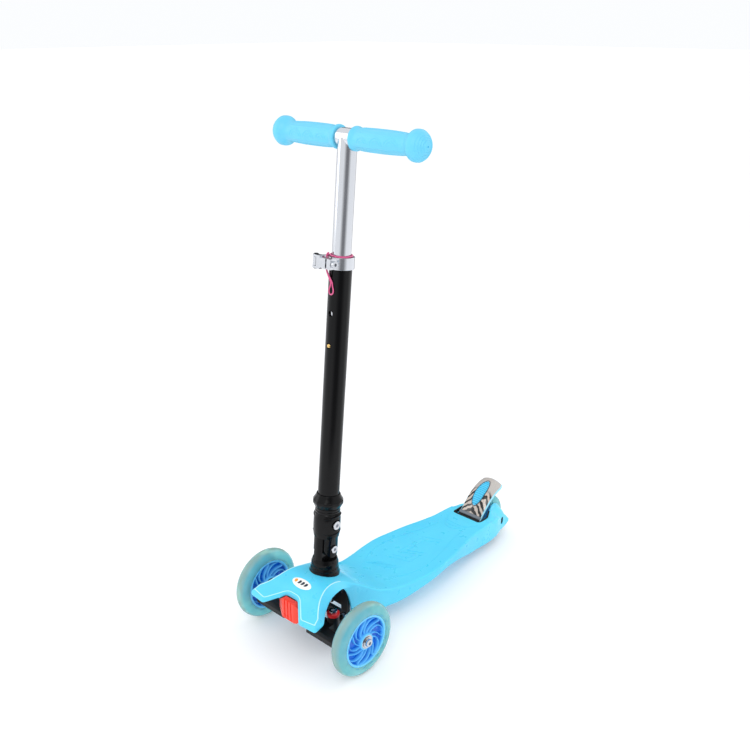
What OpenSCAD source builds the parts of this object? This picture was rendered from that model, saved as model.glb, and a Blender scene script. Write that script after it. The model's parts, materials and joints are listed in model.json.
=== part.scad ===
// Three-wheeled kick scooter: a moulded deck on a lean-to-steer front truck, a folding
// T-bar with a telescopic stem, and a fender that is pressed to brake the rear wheel.
// +X is the rider's left, +Y the rear, +Z up. Lengths are in millimetres.

/* [Wheels] */
// Diameter of each front wheel
front_wheel_d = 120; // [116:1:122]
// Diameter of the rear wheel
rear_wheel_d = 80; // [78:1:82]
// Width of every tyre
tyre_w = 24; // [22:1:24]
// Distance between the middles of the front wheels
track = 223; // [221:1:228]
// Distance between the front and rear axles
wheelbase = 466; // [464:1:468]

/* [Deck] */
// Height of the standing surface above the ground
deck_top = 60; // [58:1:62]
// Wall thickness of the moulded deck
deck_wall = 3.5; // [3:0.5:4]
// How far the fork prongs reach ahead of the front axle
nose_reach = 65.3; // [64:0.1:67]

/* [T-bar] */
// Backward lean of the T-bar from the vertical, in degrees
rake = 5.4; // [4:0.2:7]
// Diameter of the black lower tube
lower_tube_d = 33.8; // [33.4:0.2:34.2]
// Diameter of the polished upper tube
stem_d = 28; // [27.8:0.1:28.2]
// Height of the handlebar along the T-bar, from its base
bar_height = 669.9; // [660:1:690]
// Spacing of the height holes
hole_pitch = 49; // [45:1:52]
// Length of the handlebar from tip to tip
bar_length = 292; // [286:1:300]
// Diameter of the crossbar tube
crossbar_d = 22.2; // [22:0.1:22.4]

/* [Hidden] */
$fn = 64;
front_r = front_wheel_d / 2;
rear_r = rear_wheel_d / 2;
// the origin is under the middle of the whole scooter's length
mid_y = (wheelbase + rear_r - nose_reach) / 2;
run = 0.05;            // radial clearance of a shaft that turns or slides in its hole
// front truck
pivot_z = 58;          // height of the longitudinal pivot that the truck rolls about
kingpin_x = 50;
kingpin_r = 4;
link_y = 22;           // the tie rod's pins lie this far behind the kingpins
link_r = 3;
axle_r = 4;
lug_end = 97.5;        // outer face of each knuckle's axle lug
// T-bar: places along it are measured from its base, along its own axis
base_y = 30.4;
base_z = 121.7;
foot_s = -7;           // bottom of the flared foot
fold_s = 41.5;         // fold pivot
lock_s = 83.7;         // bolt that holds the lower tube in the folding half
seam_s = 60.6;         // where the folding half meets the fixed half
barrel_top = 111;
collar_s = 111.3;      // bottom of the sliding collar at rest
clamp_s = 486.5;
clamp_h = 17.5;
tube_end = 503.5;
stem_foot_s = 349;
snap_s = 372;          // height hole that the snap button sits in
tube_or = lower_tube_d / 2;
tube_ir = tube_or - 1.5;
stem_r = stem_d / 2;
bar_r = crossbar_d / 2;
tee_r = 13.5;
tee_half = 14.3;       // half the length of the sleeve, and where the grips begin
lever_x = -26;
lever_y = -25;
// brake
pin_y = 408;
pin_z = 50;
fender_half = 25;
fender_t = 3;
fender_crown = 9;
// depth of the block under the fender that bears on the tyre
lining_t = 8.7;

// height and half-width of the deck's outline, as [half-width, y], from the arch to the tail
deck_edge = [
    [60, -26], [53, -8], [49.5, 12], [48, 35], [49, 65], [56, 105], [65, 145], [71, 185],
    [74, 225], [70, 260], [64, 300], [56, 335], [50.5, 368], [49, 405], [46, 436], [39, 460],
    [35, 480], [34, 496]
];
prong_out = [75, 3.3 - nose_reach];
prong_in = [41.6, -nose_reach];
notch = [12.2, -39.5];
// top of the moulding along its middle, as [y, z]
deck_ridge = [
    [-66, 89.5], [-40, 103.5], [-30, 111], [-8, 121.3], [5, 123], [16, 122.2], [32, 119.5], [46, 114.5],
    [56, 109], [76, 94], [102, 75], [130, 64], [160, deck_top]];
// bottom of the skirt, as [y, z], from the tail forward
deck_hem = [
    [496, 29], [484, 22], [400, 22], [355, 27], [318, 36], [285, 46], [240, 47], [205, 44],
    [175, 38], [140, 34], [46.5, 34], [44, 62], [33, 96], [22, 109], [-8, 106], [-21, 95],
    [-44, 89.5], [-66, 83.5]
];
// side view of the fork cheeks above the deck, as [y, z]
cheek_top = [[160, deck_top], [418, deck_top], [440, 64], [455, 70], [468, 71], [482, 60], [496, 32]];
// opening for the rear wheel and fender, as [half-width, y]
wheel_slot = [[30, 402], [30, 425], [20, 447], [16, 460], [16, 520]];
// the fender's side view along its edge, as [y, z]
fender_path = [
    [409.5, 54], [415, 60.5], [424, 70], [434, 79.5], [445, 88.5], [457, 95.5], [470, 100.5],
    [483, 103]
];
// turn of the tether's knot round the T-bar
tether_turn = 229;
// hanging loop of the tether, as [across, out from the T-bar's axis, along it]
tether_points = [
    [-1.4, 20.6, 506.4], [-1.6, 21.4, 503], [-1.6, 21.6, 496], [-1.6, 21.5, 489], [-0.8, 20.9, 484.5],
    [2, 19.7, 480], [6, 17.8, 475.5], [9.6, 15.8, 471], [11.6, 14.3, 466.5], [11, 14.9, 461.5], [9.8, 16, 456.8],
    [10.1, 15.7, 452.2], [12.7, 13.3, 449.6], [15.3, 10.7, 452.2], [15.7, 10.3, 456.8], [14.5, 11.5, 461.5],
    [13.8, 12.2, 466.5], [12, 14.1, 471], [8.8, 16.6, 475.5], [5.2, 18.8, 480], [2.4, 20.6, 484.5],
    [1.6, 21.5, 489], [1.6, 21.6, 496], [1.6, 21.4, 503], [1.4, 20.6, 506.4]];

// smooth curve through the points p, with n steps between neighbours
function curve(p, n) = concat(
    [for (i = [0:len(p) - 2], k = [0:n - 1])
        let (a = p[max(i - 1, 0)], b = p[i], c = p[i + 1], d = p[min(i + 2, len(p) - 1)], t = k / n)
        (2 * b + (c - a) * t + (2 * a - 5 * b + 4 * c - d) * t * t
            + (3 * b - a - 3 * c + d) * t * t * t) / 2],
    [p[len(p) - 1]]);
function reversed(p) = [for (i = [len(p) - 1:-1:0]) p[i]];
function mirrored(p) = [for (q = reversed(p)) [-q[0], q[1]]];
function both_sides(p) = concat(p, mirrored(p));
function unit(v) = v / norm(v);

// closed surface through rings of points, each ring counter-clockwise about the way it goes
module loft(rings) {
    m = len(rings[0]);
    n = len(rings);
    points = [for (r = rings, p = r) p];
    sides = [for (i = [0:n - 2], j = [0:m - 1], half = [0, 1])
        let (k = (j + 1) % m, a = i * m + j, c = (i + 1) * m + k)
        half == 0 ? [a, (i + 1) * m + j, c] : [a, c, i * m + k]];
    // each end is a ladder of triangles between the ring's first half and its second
    caps = [for (end = [0, n - 1], j = [0:m / 2 - 2], half = [0, 1])
        let (a = end * m + j, d = end * m + m - 1 - j, f = half == 0 ? [a, a + 1, d] : [a + 1, d - 1, d])
        end == 0 ? f : reversed(f)];
    polyhedron(points, concat(sides, caps), convexity = 6);
}
// round cord or wire of radius r along path; up is never along the path
module strand(path, r, up, sides = 8) {
    n = len(path) - 1;
    loft([for (i = [0:n])
        let (t = unit(path[min(i + 1, n)] - path[max(i - 1, 0)]), u = unit(cross(up, t)), v = cross(t, u))
        [for (j = [0:sides - 1]) path[i] + r * (cos(360 * j / sides) * u + sin(360 * j / sides) * v)]]);
}
module placed() translate([0, -mid_y, 0]) children();
module on_bar(s = 0) translate([0, base_y, base_z]) rotate([-rake, 0, 0]) translate([0, 0, s]) children();
module along_x(x, y, z) translate([x, y, z]) rotate([0, 90, 0]) children();
module along_y(x, y, z) translate([x, y, z]) rotate([-90, 0, 0]) children();
module on_side(side) mirror([side < 0 ? 1 : 0, 0, 0]) children();
module ring(outer, inner, h) {
    difference() {
        cylinder(r = outer, h = h);
        translate([0, 0, -1]) cylinder(r = inner, h = h + 2);
    }
}
// an outline in the Y-Z plane carried across the width from -half to half
module across(half, outline) {
    translate([-half, 0, 0]) rotate([90, 0, 90]) linear_extrude(2 * half) polygon(outline);
}
module hex_head(r, h) {
    difference() {
        cylinder(r = r, h = h);
        translate([0, 0, h - 2.4]) cylinder(r = r * 0.5, h = 3, $fn = 6);
    }
}

// ---- deck, root body ----
// plan outline drawn in by inset; an inset outline runs out past the notch, which has no wall
function outline(inset) = both_sides(concat(
    inset > 0 ? [notch - [4, 3], prong_in + [-4, inset]] : [notch, prong_in],
    [prong_out + [-inset, inset], [75 - inset, -44 - 0.4 * inset]],
    [for (q = curve(deck_edge, 3)) q - [inset, q[1] > 490 ? inset : 0]]));
module deck_solid(inset) {
    top = concat(curve(deck_ridge, 3), [for (i = [1:len(cheek_top) - 1]) cheek_top[i]]);
    intersection() {
        linear_extrude(200) polygon(outline(inset));
        across(100, concat([for (q = top) q - [0, inset]], inset > 0 ? [[500, 0], [-70, 0]] : deck_hem));
    }
}
module deck() color([0.35, 0.78, 0.98]) difference() {
    deck_solid(0);
    difference() {
        deck_solid(deck_wall);
        // solid walls round the rear wheel's opening, and cross ribs under the tread
        linear_extrude(200) polygon(both_sides([for (q = wheel_slot) [q[0] + 4, q[1] - (q[1] < 410 ? 4 : 0)]]));
        for (y = [130:54:346]) translate([-100, y, 0]) cube([200, 2.5, 100]);
        translate([-100, 43, 0]) cube([200, 3.5, 150]);
        for (x = [-24, 24]) translate([x - 1.25, 52, 0]) cube([2.5, 340, 100]);
    }
    linear_extrude(200) polygon(both_sides(wheel_slot));
    on_bar(-60) cylinder(r = 19.5, h = 80);
    on_bar(foot_s) cylinder(r = 25, h = 60);
    along_y(0, 40, pivot_z) cylinder(r = 8, h = 10);
    along_x(-50, wheelbase, rear_r) cylinder(r = axle_r, h = 100);
    for (side = [-1, 1]) on_side(side) along_x(31, wheelbase, rear_r) cylinder(r = 7.5, h = 30);
    along_x(-33, pin_y, pin_z) cylinder(r = 2.5, h = 66);
    for (x = [-34, 34], z = [44, 92]) along_y(x, 36, z) cylinder(r = 2, h = 12.5);
}
// oval sticker on the slope ahead of the column
module badge() color("white") translate([0, -19, 116.3]) rotate([25, 0, 0])
    linear_extrude(0.6) polygon([for (a = [0:10:350]) [21 * cos(a), 9 * sin(a)]]);
module deck_screws() color("silver") for (x = [-34, 34], z = [44, 92]) along_y(x, 37, z) {
    translate([0, 0, -2.2]) cylinder(r = 3.6, h = 2.2);
    cylinder(r = 2, h = 11);
}
// black frame in the nose: bulkhead, socket for the T-bar and lugs for the truck's pivot
module nose_frame() color([0.06, 0.06, 0.07]) difference() {
    union() {
        intersection() {
            translate([-44, 37, 36]) cube([88, 6, 72]);
            across(44, [[30, 30], [50, 30], [50, 100], [42, 108], [30, 108]]);
        }
        on_bar(-47.5) cylinder(r = 19, h = 47 + foot_s);
        along_y(0, 29, pivot_z) cylinder(r = 9, h = 8.5);
        translate([-15, -22, 73.5]) cube([30, 32, 5]);
        translate([-10, -22, 48]) cube([20, 6.5, 27]);
    }
    on_bar(-60) cylinder(r = 15, h = 60);
    on_bar(-60) translate([-30, -30, -10]) cube([60, 70, 12.5]);
    along_y(0, -30, pivot_z) cylinder(r = 4, h = 80);
    along_y(0, -10, 85) cylinder(r = 4.2, h = 25);
    for (x = [-34, 34], z = [44, 92]) along_y(x, 36, z) cylinder(r = 2, h = 12.5);
}
module pivot_bolt() color("silver") {
    along_y(0, -22, pivot_z) cylinder(r = 4, h = 68);
    along_y(0, -27, pivot_z) mirror([0, 0, 1]) translate([0, 0, -5]) hex_head(6.5, 5);
    along_y(0, 15.5, pivot_z) ring(5, 4, 13.5);
    along_y(0, 43, pivot_z) ring(6.5, 4, 3);
}
// steel stub that plugs the T-bar into the nose frame
module stub_tube() color("silver") difference() {
    on_bar(-47) cylinder(r = 15, h = 47 + foot_s);
    on_bar(-48) cylinder(r = 12.5, h = 50);
    along_y(0, 0, 85) cylinder(r = 4.5, h = 20);
}
// fixed half of the folding joint: flared foot and the tongue that the other half straddles
module fold_base() color([0.05, 0.05, 0.06]) on_bar() difference() {
    union() {
        rotate_extrude() polygon([
            [0, foot_s], [24.6, foot_s], [24.9, -2.5], [22.6, 1], [22.8, 5], [21.4, 7.5], [21.9, 11.5],
            [21.6, 16], [19.4, 21.5], [0, 21.5]]);
        intersection() {
            cylinder(r = 19, h = seam_s);
            translate([-9.4, 0, 0]) rotate([90, 0, 90]) linear_extrude(18.8) polygon(concat(
                [[-19, 15], [19, 15]],
                [for (a = [0:12:84]) [18.3 * cos(a), fold_s + 18.3 * sin(a)]],
                [[0, seam_s - 0.4], [-19, seam_s - 0.4]]));
        }
    }
    along_x(-30, 0, fold_s) cylinder(r = 4, h = 60);
}
module fold_pivot_bolt() color("silver") on_bar() {
    along_x(-17.2, 0, fold_s) cylinder(r = 4, h = 34.4);
    along_x(17.2, 0, fold_s) hex_head(6, 3.5);
    along_x(-20.7, 0, fold_s) cylinder(r = 6, h = 3.5);
}
module rear_axle_bolt() color([0.08, 0.08, 0.09]) {
    along_x(-16, wheelbase, rear_r) cylinder(r = axle_r - run, h = 32);
    for (side = [-1, 1]) on_side(side) {
        along_x(12.3, wheelbase, rear_r) ring(6, axle_r - run, 3.7);
        along_x(16, wheelbase, rear_r) cylinder(r = axle_r, h = 15);
        along_x(31, wheelbase, rear_r) hex_head(6.5, 4.5);
    }
}
module brake_pin() color("silver") along_x(-32.5, pin_y, pin_z) cylinder(r = 2.5, h = 65);
module brake_spring() color("silver")
    strand([for (i = [0:24]) [26.1 + 3.2 * i / 24, pin_y + 4.4 * cos(30 * i), pin_z + 4.4 * sin(30 * i)]],
        0.5, [1, 0, 0], 8);

// ---- release button, slides rearward ----
module release_button() color([0.94, 0.23, 0.16]) {
    difference() {
        intersection() {
            translate([0, -40.5, 50]) linear_extrude(50) polygon([
                [-28, 0], [28, 0], [28, -2.5], [13, -9.5], [-13, -9.5], [-28, -2.5]]);
            translate([0, -30, 0]) rotate([90, 0, 0]) linear_extrude(40) polygon([
                [-17, 65], [17, 65], [26, 75], [26, 89], [13, 99], [-13, 99], [-26, 89], [-26, 75]]);
        }
        for (x = [-7, 0, 7]) translate([x - 1.1, -51.5, 66]) cube([2.2, 3, 35]);
    }
    translate([-9, -40.5, 79]) cube([18, 9, 11]);
    along_y(0, -31.5, 85) cylinder(r = 3.6, h = 42);
}
module release_spring() color("silver")
    strand([for (i = [0:72]) [5.2 * cos(30 * i), -30.6 + 30 * i / 72, 85 + 5.2 * sin(30 * i)]], 0.7, [0, 1, 0], 8);

// ---- truck, rolls about the pivot bolt ----
module axle_beam() color([0.07, 0.07, 0.08]) difference() {
    union() {
        along_y(0, -13, pivot_z) cylinder(r = 12, h = 26);
        translate([-kingpin_x, -7, 44]) cube([2 * kingpin_x, 14, 9]);
        for (x = [-kingpin_x, kingpin_x]) translate([x, 0, 44]) cylinder(r = 9.5, h = 9);
    }
    along_y(0, -20, pivot_z) cylinder(r = 6.5, h = 40);
    for (x = [-kingpin_x, kingpin_x]) translate([x, 0, 40]) cylinder(r = kingpin_r, h = 30);
}
module pivot_bush() color([0.85, 0.12, 0.1]) along_y(0, -15, pivot_z) difference() {
    union() {
        cylinder(r = 6.5, h = 30);
        cylinder(r = 9, h = 1.8);
        translate([0, 0, 28.2]) cylinder(r = 9, h = 1.8);
    }
    translate([0, 0, -1]) cylinder(r = 4 + run, h = 32);
}
module kingpins() color("silver") for (x = [-kingpin_x, kingpin_x]) translate([x, 0, 0]) {
    translate([0, 0, 41]) cylinder(r = kingpin_r, h = 36.5);
    translate([0, 0, 77.5]) hex_head(6.5, 4.5);
    translate([0, 0, 40.5]) ring(6.8, kingpin_r, 3.5);
}
module kingpin_washers() color([0.85, 0.12, 0.1]) for (x = [-kingpin_x, kingpin_x])
    translate([x, 0, 73]) ring(10, kingpin_r, 4.5);

// ---- knuckles, turn on the kingpins ----
module knuckle(side) color([0.05, 0.05, 0.06]) on_side(side) difference() {
    union() {
        translate([kingpin_x, 0, 53.5]) cylinder(r = 9.5, h = 19);
        translate([kingpin_x - 7, -22, 54]) cube([14, 20, 8]);
        translate([28, 0, 0]) rotate([90, 0, 90]) linear_extrude(62) polygon([
            [-16, 50], [-16, 60], [-18, 62], [-34, 62], [-38, 58], [-38, 50], [-34, 46], [-20, 46]]);
        along_x(84, 0, front_r) cylinder(r = 11, h = lug_end - 84);
        translate([80, -30, 50]) cube([10, 30, 11]);
        translate([kingpin_x - 6, 0, 54]) cube([12, link_y, 6.5]);
        translate([kingpin_x, link_y, 54]) cylinder(r = 6, h = 6.5);
    }
    translate([kingpin_x, 0, 40]) cylinder(r = kingpin_r + run, h = 50);
    translate([kingpin_x, link_y, 40]) cylinder(r = link_r, h = 30);
    along_x(70, 0, front_r) cylinder(r = axle_r, h = 40);
}
module axle_bolt(side) color("silver") on_side(side) {
    along_x(80, 0, front_r) cylinder(r = axle_r - run, h = track / 2 + tyre_w / 2 - 79.5);
    along_x(80, 0, front_r) cylinder(r = axle_r, h = lug_end - 80);
    along_x(lug_end, 0, front_r) ring(6, axle_r - run, 1.7);
    along_x(track / 2 + tyre_w / 2 + 0.5, 0, front_r) hex_head(7.5, 4.5);
}
module link_pin(side) color("silver") on_side(side) translate([kingpin_x, link_y, 0]) {
    translate([0, 0, 44.2]) cylinder(r = link_r - run, h = 10);
    translate([0, 0, 54]) cylinder(r = link_r, h = 6.5);
    translate([0, 0, 60.5]) hex_head(5, 3);
    translate([0, 0, 42.8]) cylinder(r = 4.6, h = 2);
}
// ---- tie rod ----
module tie_rod() color("silver") difference() {
    union() {
        translate([-kingpin_x, link_y - 3, 46.5]) cube([2 * kingpin_x, 6, 5.5]);
        for (x = [-kingpin_x, kingpin_x]) translate([x, link_y, 46]) cylinder(r = 6.5, h = 6.5);
    }
    for (x = [-kingpin_x, kingpin_x]) translate([x, link_y, 40]) cylinder(r = link_r, h = 20);
}

// ---- wheels ----
module tyre(r) color([0.45, 0.85, 0.85]) rotate([0, 90, 0]) rotate_extrude($fn = 96) difference() {
    union() {
        translate([r - 12, 0]) circle(r = 12);
        translate([r - 17.7, -tyre_w / 2 + 1.2]) square([6, tyre_w - 2.4]);
    }
    translate([r - 40, -tyre_w]) square([22.3, 2 * tyre_w]);
}
module rim(r, spokes) color([0.25, 0.65, 0.98]) rotate([0, 90, 0]) difference() {
    union() {
        translate([0, 0, -9.8]) ring(r - 17.7, r - 22.2, 19.6);
        translate([0, 0, -tyre_w / 2]) cylinder(r = 13, h = tyre_w);
        for (i = [0:spokes - 1]) rotate(i * 360 / spokes) translate([0, 0, -8]) linear_extrude(16)
            intersection() {
                circle(r = r - 21);
                translate([0, -(r - 16) / 2]) difference() {
                    circle(r = (r - 16) / 2 + 1.3);
                    circle(r = (r - 16) / 2 - 1.3);
                    translate([-r, -r]) square([r, 2 * r]);
                }
            }
        translate([0, 0, -1.5]) cylinder(r = r - 20, h = 3);
    }
    translate([0, 0, -tyre_w]) cylinder(r = 8, h = 2 * tyre_w);
    for (z = [-tyre_w / 2 - 1, tyre_w / 2 - 7.2]) translate([0, 0, z]) cylinder(r = 11, h = 8.2);
}
// two ball bearings and the sleeve that keeps them apart
module bearings() color("silver") rotate([0, 90, 0]) {
    for (z = [-tyre_w / 2 + 0.2, tyre_w / 2 - 7.2]) translate([0, 0, z]) difference() {
        ring(11, axle_r, 7);
        for (h = [-1, 6.4]) translate([0, 0, h]) ring(9, 6, 1.6);
    }
    translate([0, 0, -tyre_w / 2 + 7.2]) ring(5.5, axle_r, tyre_w - 14.4);
}
module front_wheel_place(side) on_side(side) translate([track / 2, 0, front_r]) children();
module rear_wheel_place() translate([0, wheelbase, rear_r]) children();

// ---- fender brake, hinged at the deck ----
// one cross-section of the fender: top from side to side at height `over`, then back at `under`
function fender_ring(i, over, under, half, n = 12) =
    let (p = fender_path[i], q = fender_path[min(i + 1, len(fender_path) - 1)],
        o = fender_path[max(i - 1, 0)], t = unit(q - o), up = [-t[1], t[0]],
        crown = fender_crown * min(1, i / 4))
    concat(
        [for (j = [0:n]) let (x = half * (2 * j / n - 1), h = over + crown * (1 - pow(x / fender_half, 2)))
            [x, p[0] + up[0] * h, p[1] + up[1] * h]],
        [for (j = [n:-1:0]) let (x = half * (2 * j / n - 1), h = under + crown * (1 - pow(x / fender_half, 2)))
            [x, p[0] + up[0] * h, p[1] + up[1] * h]]);
module fender_layer(over, under, half, first = 0, n = 12)
    loft([for (i = [first:len(fender_path) - 1]) fender_ring(i, over, under, half, n)]);
module brake_fender() color([0.62, 0.6, 0.58]) fender_layer(0, -fender_t, fender_half);
// barrel moulded into the fender's lower edge, turning on the brake pin
module fender_hinge() color([0.62, 0.6, 0.58]) along_x(-24.6, pin_y, pin_z) ring(5, 2.5 + run, 49.2);
// pad and lining share the fender's own facets: a fraction of its half-width, split to match
module foot_pad() color([0.3, 0.8, 0.98]) intersection() {
    fender_layer(1.8, 0, fender_half * 2 / 3, 1, 8);
    translate([0, 447, 60]) linear_extrude(70) polygon([for (a = [0:10:350]) [10.5 * cos(a), 21 * sin(a)]]);
}
module brake_lining() color([0.1, 0.1, 0.1]) intersection() {
    fender_layer(-fender_t, -fender_t - lining_t, fender_half / 3, 2, 4);
    translate([-20, 436, 60]) cube([40, 22, 60]);
}

// ---- T-bar, folds back at the fold pivot ----
module fold_barrel() color([0.05, 0.05, 0.06]) on_bar() difference() {
    union() {
        rotate_extrude() polygon([
            [0, seam_s], [20.2, seam_s], [21.2, 67], [21.6, 78], [21.4, 92], [20.4, 98], [20.4, 100.5],
            [19.4, 101.5], [20, 103], [20, 105], [19.2, 106], [19.8, 107.5], [19.8, 109.5], [18.6, barrel_top],
            [0, barrel_top]]);
        intersection() {
            cylinder(r = 19, h = 70);
            for (side = [-1, 1]) on_side(side) {
                along_x(9.6, 0, fold_s) cylinder(r = 14.5, h = 10);
                translate([9.6, -14.5, fold_s]) cube([10, 29, 28]);
            }
        }
    }
    translate([0, 0, 74]) cylinder(r = tube_or, h = 50);
    along_x(-30, 0, fold_s) cylinder(r = 4 + run, h = 60);
    along_x(-30, 0, lock_s) cylinder(r = 4, h = 60);
    for (side = [-1, 1]) on_side(side) {
        along_x(16.9, 0, fold_s) cylinder(r = 7, h = 12);
        along_x(17.6, 0, lock_s) cylinder(r = 9, h = 12);
    }
}
module lock_bolt() color("silver") on_bar() {
    along_x(-17.6, 0, lock_s) cylinder(r = 4, h = 35.2);
    along_x(17.6, 0, lock_s) hex_head(7, 5);
    along_x(-21.6, 0, lock_s) cylinder(r = 6.5, h = 4);
}
module lower_tube() color([0.04, 0.04, 0.04]) on_bar() difference() {
    translate([0, 0, 74]) ring(tube_or, tube_ir, tube_end - 74);
    along_x(-30, 0, lock_s) cylinder(r = 4, h = 60);
    for (k = [0, 1]) translate([0, 0, snap_s + k * hole_pitch]) rotate([90, 0, 0]) cylinder(r = 4.2, h = 30);
    translate([-1.25, -30, 470]) cube([2.5, 30, 60]);
}
module guide_sleeve() color("gray") on_bar(450) ring(tube_ir, stem_r + run, 53);
module clamp_ring() color("silver") on_bar(clamp_s) difference() {
    union() {
        cylinder(r = 19.8, h = clamp_h);
        translate([-9, -31, 1.2]) cube([18, 20, clamp_h - 2.4]);
    }
    translate([0, 0, -1]) cylinder(r = tube_or, h = clamp_h + 2);
    translate([-1.25, -40, -1]) cube([2.5, 40, clamp_h + 2]);
    along_x(-20, lever_y, clamp_h / 2) cylinder(r = 2.5, h = 40);
}
module clamp_bolt() color("silver") on_bar(clamp_s + clamp_h / 2) {
    along_x(-14, lever_y, 0) cylinder(r = 2.5, h = 23);
    along_x(9, lever_y, 0) hex_head(5.2, 5);
}
// fork that carries the lever's pin, on the far end of the clamp bolt
module cam_block() color("silver") on_bar(clamp_s) difference() {
    union() {
        translate([-21, lever_y - 5, 2]) cube([12, 10, clamp_h - 4]);
        for (z = [-1, clamp_h - 2]) translate([0, 0, z]) {
            translate([lever_x, lever_y, 0]) cylinder(r = 5, h = 3);
            translate([lever_x, lever_y - 5, 0]) cube([12, 10, 3]);
        }
    }
    along_x(-14, lever_y, clamp_h / 2) cylinder(r = 2.5, h = 10);
    translate([lever_x, lever_y, -5]) cylinder(r = 2, h = 40);
}
module lever_pin() color([0.1, 0.1, 0.1]) on_bar(clamp_s) translate([lever_x, lever_y, -1.5]) {
    cylinder(r = 2, h = clamp_h + 3);
    for (z = [-0.8, clamp_h + 2.5]) translate([0, 0, z]) cylinder(r = 3.2, h = 1.3);
}
// quick-release lever: its barrel turns on the pin and its handle curls round the column
module clamp_lever() color("silver") on_bar(clamp_s) difference() {
    union() {
        translate([lever_x, lever_y, 2.3]) cylinder(r = 4.5, h = clamp_h - 4.6);
        translate([0, 0, 2.3]) linear_extrude(clamp_h - 4.6) polygon([
            [lever_x - 4.4, lever_y], [-32.5, -8], [-32, 8], [-28, 22], [-30, 30], [-26.5, 31], [-24.4, 21.5],
            [-28, 7.5], [-28.6, -8], [lever_x, lever_y + 4.4]]);
    }
    translate([lever_x, lever_y, -5]) cylinder(r = 2 + run, h = 40);
}
// ring of cord tied round the stem above the clamp, with its knot
module tether_band() color([0.94, 0.34, 0.6]) on_bar(clamp_s + clamp_h) {
    translate([0, 0, 1.5]) rotate_extrude() translate([16.4, 0]) circle(r = 1.4);
    rotate(tether_turn) translate([18.6, 0, 2.9]) sphere(r = 2.7);
}
module tether_loop() color([0.94, 0.34, 0.6]) on_bar() rotate(tether_turn)
    strand([for (q = curve(tether_points, 2)) [q[1], q[0], q[2]]], 1, [1, 0, 0.001], 8);

// ---- sliding collar of the fold ----
module fold_collar() color([0.05, 0.05, 0.06]) on_bar(collar_s) rotate_extrude() polygon([
    [tube_or + run, 0], [21, 0], [22.2, 3], [24.3, 7], [24.3, 11], [19, 21], [tube_or + run, 21.5]]);

// ---- telescopic upper part ----
module stem_tube() color("silver") on_bar() difference() {
    translate([0, 0, stem_foot_s + 6]) ring(stem_r, stem_r - 1.5, bar_height - stem_foot_s - 6);
    along_x(-30, 0, bar_height) cylinder(r = tee_r, h = 60);
    translate([0, 0, snap_s]) rotate([90, 0, 0]) cylinder(r = 3.5 + run, h = 30);
}
module stem_foot() color([0.1, 0.1, 0.1]) on_bar(stem_foot_s) {
    cylinder(r = tube_ir - run, h = 6);
    translate([0, 0, 6]) cylinder(r = stem_r - 1.5, h = 6);
}
module tee_sleeve() color("silver") on_bar(bar_height) along_x(-tee_half, 0, 0) ring(tee_r, bar_r, 2 * tee_half);
module crossbar() color("silver") on_bar(bar_height)
    along_x(-bar_length / 2 + 12, 0, 0) ring(bar_r, bar_r - 1.5, bar_length - 24);
module grip(side) color([0.33, 0.78, 0.98]) on_side(side) on_bar(bar_height) along_x(0, 0, 0) {
    tip = bar_length / 2;
    difference() {
        rotate_extrude() polygon([
            [0, tee_half + 0.3], [16.4, tee_half + 0.3], [17.2, 16], [17.2, 19], [16, 21], [15.4, 25], [15.9, 45], [16, 70],
            [15.4, 95], [14.8, 112], [16, 118], [20, 122.5], [21.6, 126], [21.6, 133], [20.4, 137.5],
            [17, 141.5], [11, 144.6], [4, tip], [0, tip]]);
        cylinder(r = bar_r, h = tip - 12);
    }
}
// ---- snap button and its leaf spring, in the foot of the stem ----
module snap_button() color([0.9, 0.7, 0.35]) on_bar(snap_s) rotate([90, 0, 0])
    translate([0, 0, 9.5]) cylinder(r = 3.5, h = tube_ir - 0.9 - 9.5);
module snap_spring() color("silver") on_bar(snap_s) translate([-2.5, 0, 0]) rotate([90, 0, 90])
    linear_extrude(5) polygon([
        [-8.7, -4], [-8.7, 4], [-7.8, 6], [0, 18], [5.5, 14], [5.9, 15], [0, 19.5], [-8.7, 6.6], [-9.5, 4],
        [-9.5, -4]]);

placed() deck();
placed() badge();
placed() deck_screws();
placed() nose_frame();
placed() pivot_bolt();
placed() stub_tube();
placed() fold_base();
placed() fold_pivot_bolt();
placed() rear_axle_bolt();
placed() brake_pin();
placed() brake_spring();
placed() release_button();
placed() release_spring();
placed() axle_beam();
placed() pivot_bush();
placed() kingpins();
placed() kingpin_washers();
placed() knuckle(1);  // knuckle_left
placed() knuckle(-1);  // knuckle_right
placed() axle_bolt(1);  // axle_bolt_left
placed() axle_bolt(-1);  // axle_bolt_right
placed() link_pin(1);  // link_pin_left
placed() link_pin(-1);  // link_pin_right
placed() tie_rod();
placed() front_wheel_place(1) tyre(front_r);  // tyre_left
placed() front_wheel_place(1) rim(front_r, 16);  // rim_left
placed() front_wheel_place(1) bearings();  // bearings_left
placed() front_wheel_place(-1) tyre(front_r);  // tyre_right
placed() front_wheel_place(-1) rim(front_r, 16);  // rim_right
placed() front_wheel_place(-1) bearings();  // bearings_right
placed() rear_wheel_place() tyre(rear_r);  // tyre_rear
placed() rear_wheel_place() rim(rear_r, 8);  // rim_rear
placed() rear_wheel_place() bearings();  // bearings_rear
placed() brake_fender();
placed() fender_hinge();
placed() foot_pad();
placed() brake_lining();
placed() fold_barrel();
placed() lock_bolt();
placed() lower_tube();
placed() guide_sleeve();
placed() clamp_ring();
placed() clamp_bolt();
placed() cam_block();
placed() lever_pin();
placed() clamp_lever();
placed() tether_band();
placed() tether_loop();
placed() fold_collar();
placed() stem_tube();
placed() stem_foot();
placed() tee_sleeve();
placed() crossbar();
placed() grip(1);  // grip_left
placed() grip(-1);  // grip_right
placed() snap_button();
placed() snap_spring();
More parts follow.
